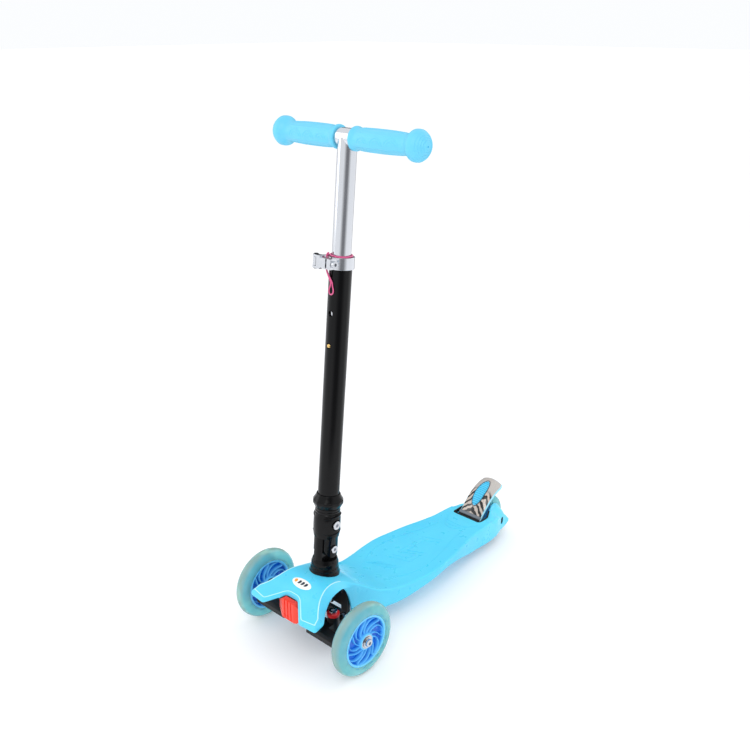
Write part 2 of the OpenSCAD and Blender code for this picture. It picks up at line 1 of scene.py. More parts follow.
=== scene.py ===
"""Looks of a three-wheeled child's kick scooter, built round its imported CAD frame.

Shapes are worked out in millimetres. Most are given in the scooter's own plan: x to the
rider's left, y backward from the front axle, z up from the ground. Shapes on the T-bar are
given in bar terms: across, out to the rear, and along the bar from its base.
"""
import json
import math

import bmesh
import bpy
import numpy as np
from mathutils.geometry import delaunay_2d_cdt
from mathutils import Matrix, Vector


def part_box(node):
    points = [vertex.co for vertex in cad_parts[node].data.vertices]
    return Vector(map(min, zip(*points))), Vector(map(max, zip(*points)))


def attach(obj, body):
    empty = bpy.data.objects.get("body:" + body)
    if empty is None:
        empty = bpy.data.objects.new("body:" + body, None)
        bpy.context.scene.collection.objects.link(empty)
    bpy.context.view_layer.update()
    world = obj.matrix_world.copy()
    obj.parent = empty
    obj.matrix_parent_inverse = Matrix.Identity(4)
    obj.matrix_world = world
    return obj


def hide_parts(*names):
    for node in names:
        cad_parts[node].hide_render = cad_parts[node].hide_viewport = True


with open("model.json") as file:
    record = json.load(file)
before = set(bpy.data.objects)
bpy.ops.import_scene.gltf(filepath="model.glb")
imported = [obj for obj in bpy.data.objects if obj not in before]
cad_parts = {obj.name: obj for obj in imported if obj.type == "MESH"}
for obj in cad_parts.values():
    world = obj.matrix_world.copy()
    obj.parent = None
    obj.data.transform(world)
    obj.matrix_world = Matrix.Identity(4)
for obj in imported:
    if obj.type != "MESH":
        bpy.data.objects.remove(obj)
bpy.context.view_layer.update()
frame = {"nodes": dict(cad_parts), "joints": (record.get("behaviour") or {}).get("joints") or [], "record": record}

NODES = frame["nodes"]
RECORD = frame["record"]
JOINT = {joint["name"]: joint for joint in frame["joints"]}
BODY_OF = {node: body for body, members in RECORD["behaviour"]["bodies"].items() for node in members}
SLOT_OF = {row["node"]: row["material_slot"] for row in RECORD["subparts"]}
MM = 0.001
TURN = 2 * math.pi


def middle(node):
    """Middle of a CAD node's box, in millimetres."""
    low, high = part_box(node)
    return (np.array(low) + np.array(high)) / 2 / MM


def size(node):
    """Size of a CAD node's box, in millimetres."""
    low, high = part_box(node)
    return (np.array(high) - np.array(low)) / MM


# ---- places taken from the frame ----
AXLE = middle("tyre_left") * [0, 1, 0]
FRONT_R = size("tyre_left")[2] / 2
REAR_R = size("tyre_rear")[2] / 2
TYRE_HALF = size("tyre_left")[0] / 2
REAR = middle("tyre_rear")
UP = np.array(JOINT["bar_height"]["axis"])
OUT = np.array([0.0, UP[2], -UP[1]])
ACROSS = np.array([1.0, 0.0, 0.0])
FOLD_S = 41.5
BAR_BASE = np.array(JOINT["fold"]["pos_m"]) / MM - FOLD_S * UP
STEM_Y = float(middle("stem_tube")[1]) * MM
BAR_TOP_S = float((middle("crossbar") - BAR_BASE) @ UP)
STEM_R = size("stem_tube")[0] / 2
TUBE_R = size("lower_tube")[0] / 2


def on_plan(points):
    """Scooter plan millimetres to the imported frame's millimetres."""
    return np.asarray(points, float) + AXLE


def on_bar(across, out, along):
    """T-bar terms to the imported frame's millimetres: base + across X + out V + along U."""
    across, out, along = np.broadcast_arrays(across, out, along)
    return BAR_BASE + across[..., None] * ACROSS + out[..., None] * OUT + along[..., None] * UP


# ---- camera, floor and light ----
def make_camera():
    """A 44 mm view from ahead and to the rider's left, looking down across the scooter."""
    data = bpy.data.cameras.new("camera")
    data.lens = 44.37
    data.sensor_width = 36
    camera = bpy.data.objects.new("camera", data)
    camera.location = (0.9281, -1.06015, 0.9431)
    camera.rotation_euler = (math.radians(90 - 21.1), 0, math.radians(43.2))
    bpy.context.scene.collection.objects.link(camera)
    bpy.context.scene.camera = camera


def area_light(name, place, aim, power, width, height):
    """Rectangular softbox at place, facing aim."""
    data = bpy.data.lights.new(name, "AREA")
    data.shape = "RECTANGLE"
    data.size = width
    data.size_y = height
    data.energy = power
    lamp = bpy.data.objects.new(name, data)
    lamp.location = place
    direction = np.array(aim, float) - place
    yaw = math.atan2(direction[1], direction[0])
    tilt = math.atan2(-direction[2], math.hypot(direction[0], direction[1]))
    lamp.rotation_euler = (math.radians(90) - tilt, 0, yaw - math.radians(90))
    bpy.context.scene.collection.objects.link(lamp)


def make_studio():
    """White world, three softboxes, a wide pale floor, and soft dark flags that only gloss sees."""
    bpy.context.scene.view_settings.view_transform = "Standard"
    world = bpy.data.worlds.new("studio")
    world.use_nodes = True
    bpy.context.scene.world = world
    background = world.node_tree.nodes["Background"]
    background.inputs["Color"].default_value = (0.97, 0.985, 1.0, 1)
    background.inputs["Strength"].default_value = 1.0
    area_light("key", (1.1, -1.5, 1.9), (0, 0, 0.3), 11, 0.9, 1.3)
    area_light("fill", (-1.6, -1.2, 1.2), (0, 0, 0.35), 5, 0.8, 1.6)
    area_light("back", (0.6, 1.9, 1.6), (0, 0, 0.3), 6, 1.4, 0.9)
    half = 30.0
    mesh = bpy.data.meshes.new("floor")
    corners = [(-half, -half, 0), (half, -half, 0), (half, half, 0), (-half, half, 0)]
    mesh.from_pydata(corners, [], [(0, 1, 2, 3)])
    floor = bpy.data.objects.new("floor", mesh)
    bpy.context.scene.collection.objects.link(floor)
    pale = finish("pale_floor", (0.96, 0.96, 0.965), 0.75, grain=3.0, vary=0.01, glow=0.13)
    floor.data.materials.append(pale)
    turn = np.arange(64) / 64 * TURN
    ring = np.stack([np.cos(turn), np.sin(turn) + STEM_Y, np.zeros(64)], -1)
    mesh = bpy.data.meshes.new("flags")
    wall = np.concatenate([ring, ring + [0, 0, 1.3]])
    mesh.from_pydata(wall.tolist(), [], grid_faces(2, 64, True).tolist())
    mesh.materials.append(flag_cloth())
    flags = bpy.data.objects.new("flags", mesh)
    flags.visible_camera = flags.visible_diffuse = flags.visible_shadow = flags.visible_transmission = False
    bpy.context.scene.collection.objects.link(flags)


def flag_cloth():
    """Dark cloth that fades out round the ring: one soft panel ahead of the scooter and one behind."""
    made = Finish("flag_cloth")
    parts = made.node("ShaderNodeSeparateXYZ", Vector=made.place)
    turn = made.sum("ARCTAN2", made.sum("SUBTRACT", parts.outputs[1], STEM_Y), parts.outputs[0])
    share = None
    for aim, reach, core in ((324, 42, 12), (135, 36, 22)):
        off = made.sum("WRAP", made.sum("SUBTRACT", turn, math.radians(aim)), math.pi, -math.pi)
        panel = made.between(made.sum("ABSOLUTE", off), 0.0, 0.85, math.radians(reach), math.radians(core))
        share = panel if share is None else made.sum("MAXIMUM", share, panel)
    made.set(Base_Color=(0, 0, 0, 1), Roughness=1.0, Specular_IOR_Level=0.0, Alpha=share)
    made.set(Emission_Color=(0.1, 0.1, 0.11, 1), Emission_Strength=1.0)
    return made.material


# ---- materials ----
def linear(colour):
    """Display colour to scene-linear: the standard curve on each channel."""
    return [c / 12.92 if c <= 0.04045 else ((c + 0.055) / 1.055) ** 2.4 for c in colour]


class Finish:
    """A node material under construction, with short calls for the nodes it is made of."""

    def __init__(self, name):
        self.material = bpy.data.materials.new(name)
        self.material.use_nodes = True
        self.tree = self.material.node_tree
        self.shader = self.tree.nodes["Principled BSDF"]
        self.place = self.node("ShaderNodeTexCoord").outputs["Object"]

    def node(self, kind, **inputs):
        """Adds a node and fills its named inputs."""
        made = self.tree.nodes.new(kind)
        for key, value in inputs.items():
            self.feed(made.inputs[key.replace("_", " ")], value)
        return made

    def feed(self, socket, value):
        """Links a socket's value in, or stores a plain one."""
        if isinstance(value, bpy.types.NodeSocket):
            self.tree.links.new(value, socket)
        else:
            socket.default_value = value

    def scaled(self, scale, source=None):
        """The place, stretched by a scale along each axis."""
        return self.node("ShaderNodeMapping", Vector=source or self.place, Scale=scale).outputs[0]

    def noise(self, scale, detail=3.0, stretch=None, source=None):
        """Cloudy value from 0 to 1."""
        place = self.scaled(stretch, source) if stretch else (source or self.place)
        return self.node("ShaderNodeTexNoise", Vector=place, Scale=scale, Detail=detail).outputs[0]

    def sum(self, kind, a, b=0.0, c=0.0):
        """One step of arithmetic."""
        made = self.tree.nodes.new("ShaderNodeMath")
        made.operation = kind
        for socket, value in zip(made.inputs, (a, b, c)):
            self.feed(socket, value)
        return made.outputs[0]

    def between(self, value, low, high, start=0.0, end=1.0):
        """value from start..end mapped smoothly to low..high."""
        made = self.node("ShaderNodeMapRange", Value=value)
        made.inputs["From Min"].default_value = start
        made.inputs["From Max"].default_value = end
        made.inputs["To Min"].default_value = low
        made.inputs["To Max"].default_value = high
        return made.outputs[0]

    def blend(self, share, a, b):
        """Colour a where share is 0 and b where it is 1."""
        made = self.tree.nodes.new("ShaderNodeMix")
        made.data_type = "RGBA"
        self.feed(made.inputs[0], share)
        self.feed(made.inputs[6], a if isinstance(a, bpy.types.NodeSocket) else (*a, 1))
        self.feed(made.inputs[7], b if isinstance(b, bpy.types.NodeSocket) else (*b, 1))
        return made.outputs[2]

    def own(self, name):
        """A value stored on the piece's own points."""
        made = self.tree.nodes.new("ShaderNodeAttribute")
        made.attribute_name = name
        return made.outputs["Fac"]

    def set(self, **inputs):
        """Fills the shader's named inputs."""
        for key, value in inputs.items():
            self.feed(self.shader.inputs[key.replace("_", " ")], value)

    def relief(self, height, depth):
        """Bump from a height value, depth in metres."""
        bump = self.node("ShaderNodeBump", Height=height, Distance=depth)
        bump.inputs["Strength"].default_value = 1.0
        self.set(Normal=bump.outputs[0])


def finish(name, colour, rough, metallic=0.0, grain=60.0, vary=0.05, bump=0.0, coat=0.0, shine=0.5,
           glow=0.0):
    """Everyday finish: a colour that drifts a little, roughness that drifts with it, fine grain."""
    made = Finish(name)
    base = np.array(linear(colour))
    cloud = made.noise(grain, 4.0)
    made.set(Base_Color=made.blend(cloud, base * (1 - vary), np.minimum(base * (1 + vary), 1)))
    rub = made.noise(grain * 0.35, 5.0)
    made.set(Roughness=made.between(rub, rough * 0.8, rough * 1.25, 0.3, 0.7))
    made.set(Metallic=metallic, Specular_IOR_Level=shine)
    made.set(Emission_Color=(1, 1, 1, 1), Emission_Strength=glow)
    if coat:
        made.set(Coat_Weight=coat, Coat_Roughness=0.08)
    if bump:
        made.relief(made.noise(grain * 14, 3.0), bump)
    return made.material


def sky_plastic():
    """Gloss injection moulding: slight flow marks, a soft orange peel and rubbed patches."""
    made = Finish("sky_plastic")
    flow = made.noise(9.0, 4.0, (1.0, 0.35, 1.0))
    light, deep = linear((0.37, 0.85, 0.97)), linear((0.30, 0.80, 0.95))
    made.set(Base_Color=made.blend(made.between(flow, 0.0, 1.0, 0.3, 0.7), deep, light))
    scuff = made.noise(70.0, 6.0)
    made.set(Roughness=made.between(scuff, 0.27, 0.4, 0.35, 0.75))
    made.set(Subsurface_Weight=0.12, Subsurface_Scale=0.004, Specular_IOR_Level=0.45)
    made.relief(made.noise(420.0, 2.0), 0.00003)
    return made.material


def tyre_urethane():
    """Cast translucent tyre: watery body colour, yellower towards its skin, faint clouds."""
    made = Finish("tyre_aqua")
    cloud = made.between(made.noise(26.0, 5.0), 0.0, 1.0, 0.3, 0.7)
    body = made.blend(cloud, linear((0.44, 0.82, 0.84)), linear((0.60, 0.91, 0.91)))
    skin = made.between(made.own("skin"), 0.0, 0.65, 0.55, 1.0)
    made.set(Base_Color=made.blend(skin, body, linear((0.78, 0.84, 0.74))))
    made.set(Roughness=made.between(made.noise(120.0, 4.0), 0.08, 0.2))
    made.set(Transmission_Weight=0.5, IOR=1.45, Subsurface_Weight=0.25, Subsurface_Scale=0.006)
    made.set(Subsurface_Radius=(0.5, 1.0, 1.0))
    made.relief(made.noise(300.0, 3.0), 0.00004)
    return made.material


def rim_plastic():
    """Moulded wheel centre: blue, with painted shade (deeper blue) in its pockets and a painted highlight (paler
    blue) on every raised edge.
    """
    made = Finish("rim_blue")
    raised = made.own("raised")
    drift = made.sum("MULTIPLY", made.noise(90.0, 4.0), 0.18)
    # painted light: the raised value, with a little random drift, mixes from painted pocket shade (deep blue) to
    # painted edge highlight (pale blue)
    share = made.between(made.sum("ADD", raised, drift), 0.0, 1.0, 0.1, 1.05)
    made.set(Base_Color=made.blend(share, linear((0.03, 0.44, 0.86)), linear((0.42, 0.80, 1.0))))
    made.set(Roughness=made.between(made.noise(140.0, 4.0), 0.2, 0.32), Specular_IOR_Level=0.5)
    made.relief(made.noise(500.0, 2.0), 0.00003)
    return made.material


def metal(name, colour, rough, turned=None, grain=90.0):
    """Bare metal: fine lines left by turning or polishing, with duller handled patches."""
    made = Finish(name)
    base = np.array(linear(colour))
    lines = made.noise(grain * 9, 3.0, turned)
    made.set(Base_Color=made.blend(lines, base * 0.93, base))
    handled = made.between(made.noise(grain * 0.3, 5.0), rough * 0.75, rough * 1.5, 0.3, 0.75)
    made.set(Metallic=1.0, Roughness=handled)
    made.relief(lines, 0.000012)
    return made.material


def fender_film():
    """Printed film: wood-like zebra bands below, fading to a brushed silver grey above."""
    made = Finish("fender_print")
    uv = made.node("ShaderNodeUVMap").outputs[0]
    parts = made.node("ShaderNodeSeparateXYZ", Vector=uv)
    side, along = parts.outputs[0], parts.outputs[1]
    bend = made.sum("MULTIPLY", made.noise(3.2, 2.0, None, uv), 1.8)
    chevron = made.sum("MULTIPLY", made.sum("ABSOLUTE", made.sum("SUBTRACT", side, 0.5)), 3.4)
    phase = made.sum("ADD", made.sum("ADD", made.sum("MULTIPLY", along, 6.0), chevron), bend)
    band = made.sum("SINE", made.sum("MULTIPLY", phase, TURN))
    dark = made.between(band, 0.0, 1.0, -0.15, 0.1)
    grain = made.noise(14.0, 4.0, (1, 5, 1), uv)
    wood = made.blend(grain, linear((0.92, 0.88, 0.84)), linear((0.62, 0.50, 0.42)))
    zebra = made.blend(dark, linear((0.05, 0.04, 0.05)), wood)
    brushing = made.noise(20.0, 4.0, (1, 6, 1), uv)
    grey = made.blend(brushing, linear((0.62, 0.62, 0.61)), linear((0.83, 0.79, 0.76)))
    wave = made.sum("ADD", along, made.sum("MULTIPLY", made.sum("SUBTRACT", bend, 1.3), 0.10))
    made.set(Base_Color=made.blend(made.between(wave, 0.0, 1.0, 0.50, 0.62), zebra, grey))
    made.set(Roughness=made.between(made.noise(160.0, 4.0), 0.16, 0.3), Coat_Weight=0.5)
    return made.material


def braid():
    """Braided cord: two crossing sets of strands round it, with pale highlights on the crowns."""
    made = Finish("tether_pink")
    uv = made.node("ShaderNodeUVMap").outputs[0]
    parts = made.node("ShaderNodeSeparateXYZ", Vector=uv)
    around, along = parts.outputs[0], parts.outputs[1]
    pitch = made.sum("MULTIPLY", along, 900.0)
    left = made.sum("SINE", made.sum("MULTIPLY", made.sum("ADD", pitch, around), TURN))
    right = made.sum("SINE", made.sum("MULTIPLY", made.sum("SUBTRACT", pitch, around), TURN))
    weave = made.between(made.sum("MAXIMUM", left, right), 0.0, 1.0, -0.6, 1.0)
    made.set(Base_Color=made.blend(weave, linear((0.72, 0.05, 0.32)), linear((0.98, 0.42, 0.66))))
    made.set(Roughness=made.between(weave, 0.7, 0.5), Sheen_Weight=0.3)
    made.relief(weave, 0.0002)
    return made.material


def make_materials():
    """One material for each slot of the record, and a few that only new pieces use."""
    spun = (1.0, 1.0, 30.0)
    return {
        "sky_plastic": sky_plastic(),
        # paler blue of the nose bead: a painted highlight along the nose's crease
        "sky_painted_highlight": finish("sky_painted_highlight", (0.72, 0.95, 1.0), 0.25, vary=0.04, bump=0.00002, coat=0.4),
        "badge_white": finish("badge_white", (0.96, 0.96, 0.95), 0.25, vary=0.02, bump=0.00002, coat=0.3),
        "black_nylon": finish("black_nylon", (0.04, 0.04, 0.045), 0.42, vary=0.2, bump=0.00006, shine=0.35),
        "black_gloss": finish("black_gloss", (0.025, 0.025, 0.03), 0.16, vary=0.2, bump=0.000012, shine=0.2),
        "polished_alloy": metal("polished_alloy", (0.86, 0.87, 0.89), 0.14, spun),
        "steel": metal("steel", (0.80, 0.81, 0.83), 0.16),
        "black_steel": finish("black_steel", (0.10, 0.10, 0.11), 0.3, 0.6, vary=0.2, bump=0.00003),
        "red_plastic": finish("red_plastic", (0.96, 0.24, 0.15), 0.3, vary=0.06, bump=0.00004),
        "red_urethane": finish("red_urethane", (0.80, 0.10, 0.12), 0.4, vary=0.08, bump=0.00005),
        "tyre_aqua": tyre_urethane(),
        "rim_blue": rim_plastic(),
        "fender_print": fender_film(),
        "pad_blue": finish("pad_blue", (0.30, 0.80, 0.96), 0.4, vary=0.05, bump=0.00006),
        "lining": finish("lining", (0.10, 0.10, 0.10), 0.7, vary=0.15, bump=0.0001),
        "grip_foam": finish("grip_foam", (0.40, 0.79, 0.92), 0.4, vary=0.05, bump=0.00006),
        "tether_pink": braid(),
        "brass": metal("brass", (0.93, 0.78, 0.50), 0.2),
        "fender_blue": finish("fender_blue", (0.62, 0.88, 0.96), 0.25, vary=0.04, bump=0.00003),
        "lip_grey": finish("lip_grey", (0.42, 0.45, 0.49), 0.3, vary=0.1, bump=0.00003, coat=0.3),
        "key_teal": finish("key_teal", (0.14, 0.55, 0.72), 0.35, vary=0.15, bump=0.00003),
        "mark_orange": finish("mark_orange", (0.98, 0.60, 0.16), 0.3, vary=0.04),
        "mark_ink": finish("mark_ink", (0.10, 0.14, 0.22), 0.3, vary=0.1),
    }


# ---- meshes ----
def grid_faces(rows, columns, wrap=False, wrap_rows=False):
    """Four-cornered faces of a grid of points, row by row; wrap joins its last column to its first."""
    i = np.arange(rows if wrap_rows else rows - 1)[:, None]
    j = np.arange(columns if wrap else columns - 1)[None, :]
    below = (i + 1) % rows
    beside = (j + 1) % columns
    corners = [i * columns + j, i * columns + beside, below * columns + beside, below * columns + j]
    return np.stack(np.broadcast_arrays(*corners), -1).reshape(-1, 4)


class Shell:
    """Points and faces gathered from several grids into one mesh."""

    def __init__(self):
        self.points, self.faces, self.values, self.uvs, self.count = [], [], [], [], 0

    def grid(self, points, wrap=False, wrap_rows=False, value=None, uv=None):
        """Adds a rows x columns x 3 array of points. value and uv are kept on its points."""
        rows, columns = points.shape[:2]
        self.faces.extend((grid_faces(rows, columns, wrap, wrap_rows) + self.count).tolist())
        self.keep(points.reshape(-1, 3), value, uv, rows, columns)
        return self

    def keep(self, flat, value, uv, rows, columns):
        """Stores points with the value and the uv place of each."""
        self.points.append(flat)
        level = 0.0 if value is None else value
        self.values.append(np.broadcast_to(level, (rows, columns)).reshape(-1).astype(float))
        if uv is None:
            v, u = np.meshgrid(np.linspace(0, 1, rows), np.linspace(0, 1, columns), indexing="ij")
            uv = np.stack([u, v], -1)
        self.uvs.append(np.asarray(uv, float).reshape(-1, 2))
        self.count += len(flat)

    def cap(self, ring, value=0.0):
        """Closes a ring of points with one flat face."""
        self.faces.append((np.arange(len(ring)) + self.count).tolist())
        self.keep(np.asarray(ring, float), value, None, 1, len(ring))
        return self

    def triangles(self, points, faces):
        """Adds loose points and the triangles between them."""
        self.faces.extend([[int(i) + self.count for i in face] for face in faces])
        self.keep(points, None, None, 1, len(points))
        return self


def add_piece(name, shell, body, slot, material=None, stands_for=(), crease=35.0, turn_out=True,
              value=None):
    """Makes the mesh, merges doubled points, turns faces outward and hangs it on its body."""
    mesh = bpy.data.meshes.new(name)
    mesh.from_pydata((np.concatenate(shell.points) * MM).tolist(), [], shell.faces)
    uv = mesh.uv_layers.new(name="UVMap")
    corner = np.zeros(len(mesh.loops), np.int32)
    mesh.loops.foreach_get("vertex_index", corner)
    uv.data.foreach_set("uv", np.concatenate(shell.uvs)[corner].astype(np.float32).ravel())
    if value:
        stored = mesh.attributes.new(value, "FLOAT", "POINT")
        stored.data.foreach_set("value", np.concatenate(shell.values).astype(np.float32))
    work = bmesh.new()
    work.from_mesh(mesh)
    bmesh.ops.remove_doubles(work, verts=work.verts, dist=2e-6)
    bmesh.ops.dissolve_degenerate(work, edges=work.edges, dist=1e-6)
    if turn_out:
        bmesh.ops.recalc_face_normals(work, faces=work.faces)
    work.to_mesh(mesh)
    work.free()
    return hang(name, mesh, body, slot, material, stands_for, crease)


def hang(name, mesh, body, slot, material, stands_for, crease):
    """Gives a finished mesh its shading, material and body."""
    mesh.shade_smooth()
    mesh.set_sharp_from_angle(angle=math.radians(crease))
    mesh.materials.append(MATERIALS[material or slot])
    made = bpy.data.objects.new(name, mesh)
    bpy.context.scene.collection.objects.link(made)
    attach(made, body)
    if stands_for:
        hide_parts(*stands_for)
    return made


def soften(node, width):
    """A copy of a CAD node with its flat faces joined up and its edges rounded to width."""
    mesh = NODES[node].data.copy()
    mesh.name = node + "_moulded"
    mesh.materials.clear()
    work = bmesh.new()
    work.from_mesh(mesh)
    bmesh.ops.remove_doubles(work, verts=work.verts, dist=2e-6)
    bmesh.ops.dissolve_limit(work, angle_limit=math.radians(1.0), verts=work.verts, edges=work.edges)
    work.to_mesh(mesh)
    work.free()
    made = hang(node + "_moulded", mesh, BODY_OF[node], SLOT_OF[node], None, (node,), 40.0)
    bevel = made.modifiers.new("edges", "BEVEL")
    bevel.width = width * MM
    bevel.segments = 2
    bevel.limit_method = "ANGLE"
    bevel.angle_limit = math.radians(38)
    bevel.use_clamp_overlap = True


def smooth_curve(points, steps):
    """Smooth curve through points, steps between neighbours, by the four-point spline."""
    p = np.asarray(points, float)
    before = np.concatenate([p[:1], p[:-2]])
    after = np.concatenate([p[2:], p[-1:]])
    t = (np.arange(steps) / steps)[None, :, None]
    a, b, c, d = before[:, None], p[:-1, None], p[1:, None], after[:, None]
    inside = (2 * b + (c - a) * t + (2 * a - 5 * b + 4 * c - d) * t**2 + (3 * b - a - 3 * c + d) * t**3) / 2
    return np.concatenate([inside.reshape(-1, p.shape[1]), p[-1:]])


def unit(v):
    """Vectors brought to length 1."""
    return v / np.linalg.norm(v, axis=-1, keepdims=True)


def sweep(shell, path, profile, up, closed=False, value=None, scale=None):
    """Carries a closed profile (side, rise) along a path; up is roughly square to the path."""
    path = np.asarray(path, float)
    if closed:
        ahead = np.roll(path, -1, 0) - np.roll(path, 1, 0)
    else:
        ahead = np.gradient(path, axis=0)
    ahead = unit(ahead)
    side = unit(np.cross(ahead, np.broadcast_to(up, path.shape)))
    rise = np.cross(side, ahead)
    grow = np.ones(len(path)) if scale is None else np.asarray(scale)
    across = profile[None, :, 0, None] * grow[:, None, None] * side[:, None]
    over = profile[None, :, 1, None] * grow[:, None, None] * rise[:, None]
    points = path[:, None] + across + over
    length = np.concatenate([[0], np.cumsum(np.linalg.norm(np.diff(path, axis=0), axis=1))]) * MM
    v, u = np.meshgrid(length, np.linspace(0, 1, len(profile)), indexing="ij")
    shell.grid(points, wrap=True, wrap_rows=closed, value=value, uv=np.stack([u, v], -1))
    if not closed:
        shell.cap(points[0], 0.0 if value is None else float(np.ravel(value)[0]))
        shell.cap(points[-1][::-1], 0.0 if value is None else float(np.ravel(value)[-1]))
    return shell


def circle(radius, sides):
    """Points of a circle, as a profile for sweep."""
    turn = np.arange(sides) / sides * TURN
    return np.stack([radius * np.cos(turn), radius * np.sin(turn)], -1)


def revolve(shell, profile, centre, axis, side, segments, value=None, wrap_profile=False, shape=None):
    """Turns a profile of (along, radius) about the axis.

    shape(turn, along, radius) may change the radius round the turn.
    """
    profile = np.asarray(profile, float)
    turn = np.arange(segments) / segments * TURN
    along, radius = profile[:, 0, None], np.broadcast_to(profile[:, 1, None], (len(profile), segments))
    if shape:
        radius = shape(turn[None, :], along, radius)
    axis, side = np.asarray(axis, float), np.asarray(side, float)
    third = np.cross(axis, side)
    round_way = np.cos(turn)[:, None] * side + np.sin(turn)[:, None] * third
    points = centre + along[..., None] * axis + radius[..., None] * round_way[None]
    level = None if value is None else np.broadcast_to(np.asarray(value)[:, None], radius.shape)
    return shell.grid(points, wrap=True, wrap_rows=wrap_profile, value=level)


def smoothstep(low, high, x):
    """0 at low, 1 at high, with a level start and end."""
    t = np.clip((x - low) / (high - low), 0, 1)
    return t * t * (3 - 2 * t)


# ---- deck ----
# half of the plan outline, from the notch round the prong and side to the wheel slot:
# x, y, height of the hem, and width and depth of the worked edge
OUTLINE = np.array([
    [0, -39.5, 100.3, 4, 3.2], [12.4, -39.5, 100.3, 4, 3.2], [41.6, -65.3, 84.8, 4, 5.5],
    [75, -62, 84.1, 5, 6], [75, -44, 89.5, 9, 9], [60, -26, 93.5, 10, 13], [53, -8, 105.5, 11, 13],
    [49.5, 12, 108.5, 12, 10], [48, 26, 107, 11, 8], [48, 36, 91, 8, 8], [48.2, 43, 66, 5, 6],
    [48.6, 47, 34, 4, 4], [49, 65, 34, 3.5, 3.5], [56, 105, 34, 3, 3], [65, 145, 34.5, 3, 3],
    [71, 185, 40, 3, 3], [74, 225, 46, 3, 3], [70, 260, 47, 3, 3], [64, 300, 42, 3, 3],
    [56, 335, 31, 3, 3], [50.5, 368, 25, 3, 3], [49, 405, 22, 3, 3], [46, 436, 22, 5, 4],
    [39, 460, 22, 6, 5], [35, 480, 22, 5, 5], [34, 496, 28, 3, 3], [16, 496, 28, 1.5, 1.5],
    [16, 460, 26, 1.5, 1.5], [20, 447, 26, 1.5, 1.5], [30, 425, 26, 2, 2], [30, 402, 26, 2, 2],
    [0, 402, 26, 2, 2],
])
# along the middle, [y, height]: the ridge of the top, and the rear cheeks behind the deck
RIDGE = np.array([
    [-66, 90], [-62, 91.8], [-40, 104], [-30, 111], [-18, 117.4], [-8, 121], [5, 122.6], [16, 121.8],
    [32, 118.5], [46, 113.5], [56, 108.5], [76, 94], [102, 75.5], [130, 64], [160, 60], [190, 60],
    [300, 60], [418, 60],
])
CHEEK = np.array([[418, 60], [430, 61], [440, 64], [455, 70], [468, 71], [482, 60], [496, 32]])
CHEEK_START = 418
# [y, fall]: how far the sides lie below the middle, on the deck and on the cheeks
CROWN = np.array([
    [-66, 0], [-40, 0.6], [-20, 1.5], [-5, 3], [12, 6], [35, 7.5], [60, 7.5], [90, 5.5], [130, 1.8],
    [160, 0], [600, 0],
])
CHEEK_FALL = np.array([[410, 0], [440, 9], [456, 24], [470, 27], [482, 20], [496, 4]])
SIDE = np.array([[row[1], row[0]] for row in OUTLINE[4:26]])
SLOT_EDGE = np.array([[402, 30], [425, 30], [447, 20], [460, 16], [500, 16]])
WALL = 3.0
WINDOW_R = 5.2
WINDOW_RISE = 2.6
BADGE_Y = -19.0
BADGE_HALF = (20.5, 7.6)


def along_curve(table, y, steps=8):
    """Value at y of the smooth curve through a table's [y, value] rows."""
    fine = smooth_curve(table, steps)
    return np.interp(y, fine[:, 0], fine[:, 1])


def deck_height(x, y):
    """Top of the moulding: the ridge line, lower to each side by the crown; the rear cheeks slope out."""
    half = np.interp(y, SIDE[:, 0], SIDE[:, 1])
    across = np.clip(np.abs(x) / half, 0, 1)
    front = along_curve(RIDGE, y) - along_curve(CROWN, y) * across**2.2
    inner = np.interp(y, SLOT_EDGE[:, 0], SLOT_EDGE[:, 1])
    out = np.clip((np.abs(x) - inner) / (half - inner), 0, 1)
    cheek = along_curve(CHEEK, y) - along_curve(CHEEK_FALL, y) * out**1.15
    return np.where(y > CHEEK_START, cheek, front)


def outline_loop(spacing=2.4):
    """The whole outline at even spacing: sides as smooth curves, corners rounded, both halves."""
    side = smooth_curve(OUTLINE[4:26], 8)
    half = np.concatenate([OUTLINE[:4], side, OUTLINE[26:]])
    whole = np.concatenate([half, (half * [-1, 1, 1, 1, 1])[-2:0:-1]])
    whole = np.concatenate([whole, whole[:1]])
    distance = np.concatenate([[0], np.cumsum(np.linalg.norm(np.diff(whole[:, :2], axis=0), axis=1))])
    count = int(distance[-1] / spacing / 2) * 2
    even = np.linspace(0, distance[-1], count, endpoint=False)
    loop = np.stack([np.interp(even, distance, whole[:, k]) for k in range(5)], -1)
    for _ in range(2):
        loop = (np.roll(loop, 1, 0) + 2 * loop + np.roll(loop, -1, 0)) / 4
    return loop


def inset_loop(loop, amount):
    """Each point moved inward, square to the outline, by its own amount."""
    ahead = unit(np.roll(loop[:, :2], -1, 0) - np.roll(loop[:, :2], 1, 0))
    inward = np.stack([-ahead[:, 1], ahead[:, 0]], -1)
    moved = loop[:, :2] + inward * amount[:, None]
    for _ in range(3):
        soft = (np.roll(moved, 1, 0) + 2 * moved + np.roll(moved, -1, 0)) / 4
        moved = np.where(amount[:, None] > 0, soft, moved)
    return moved


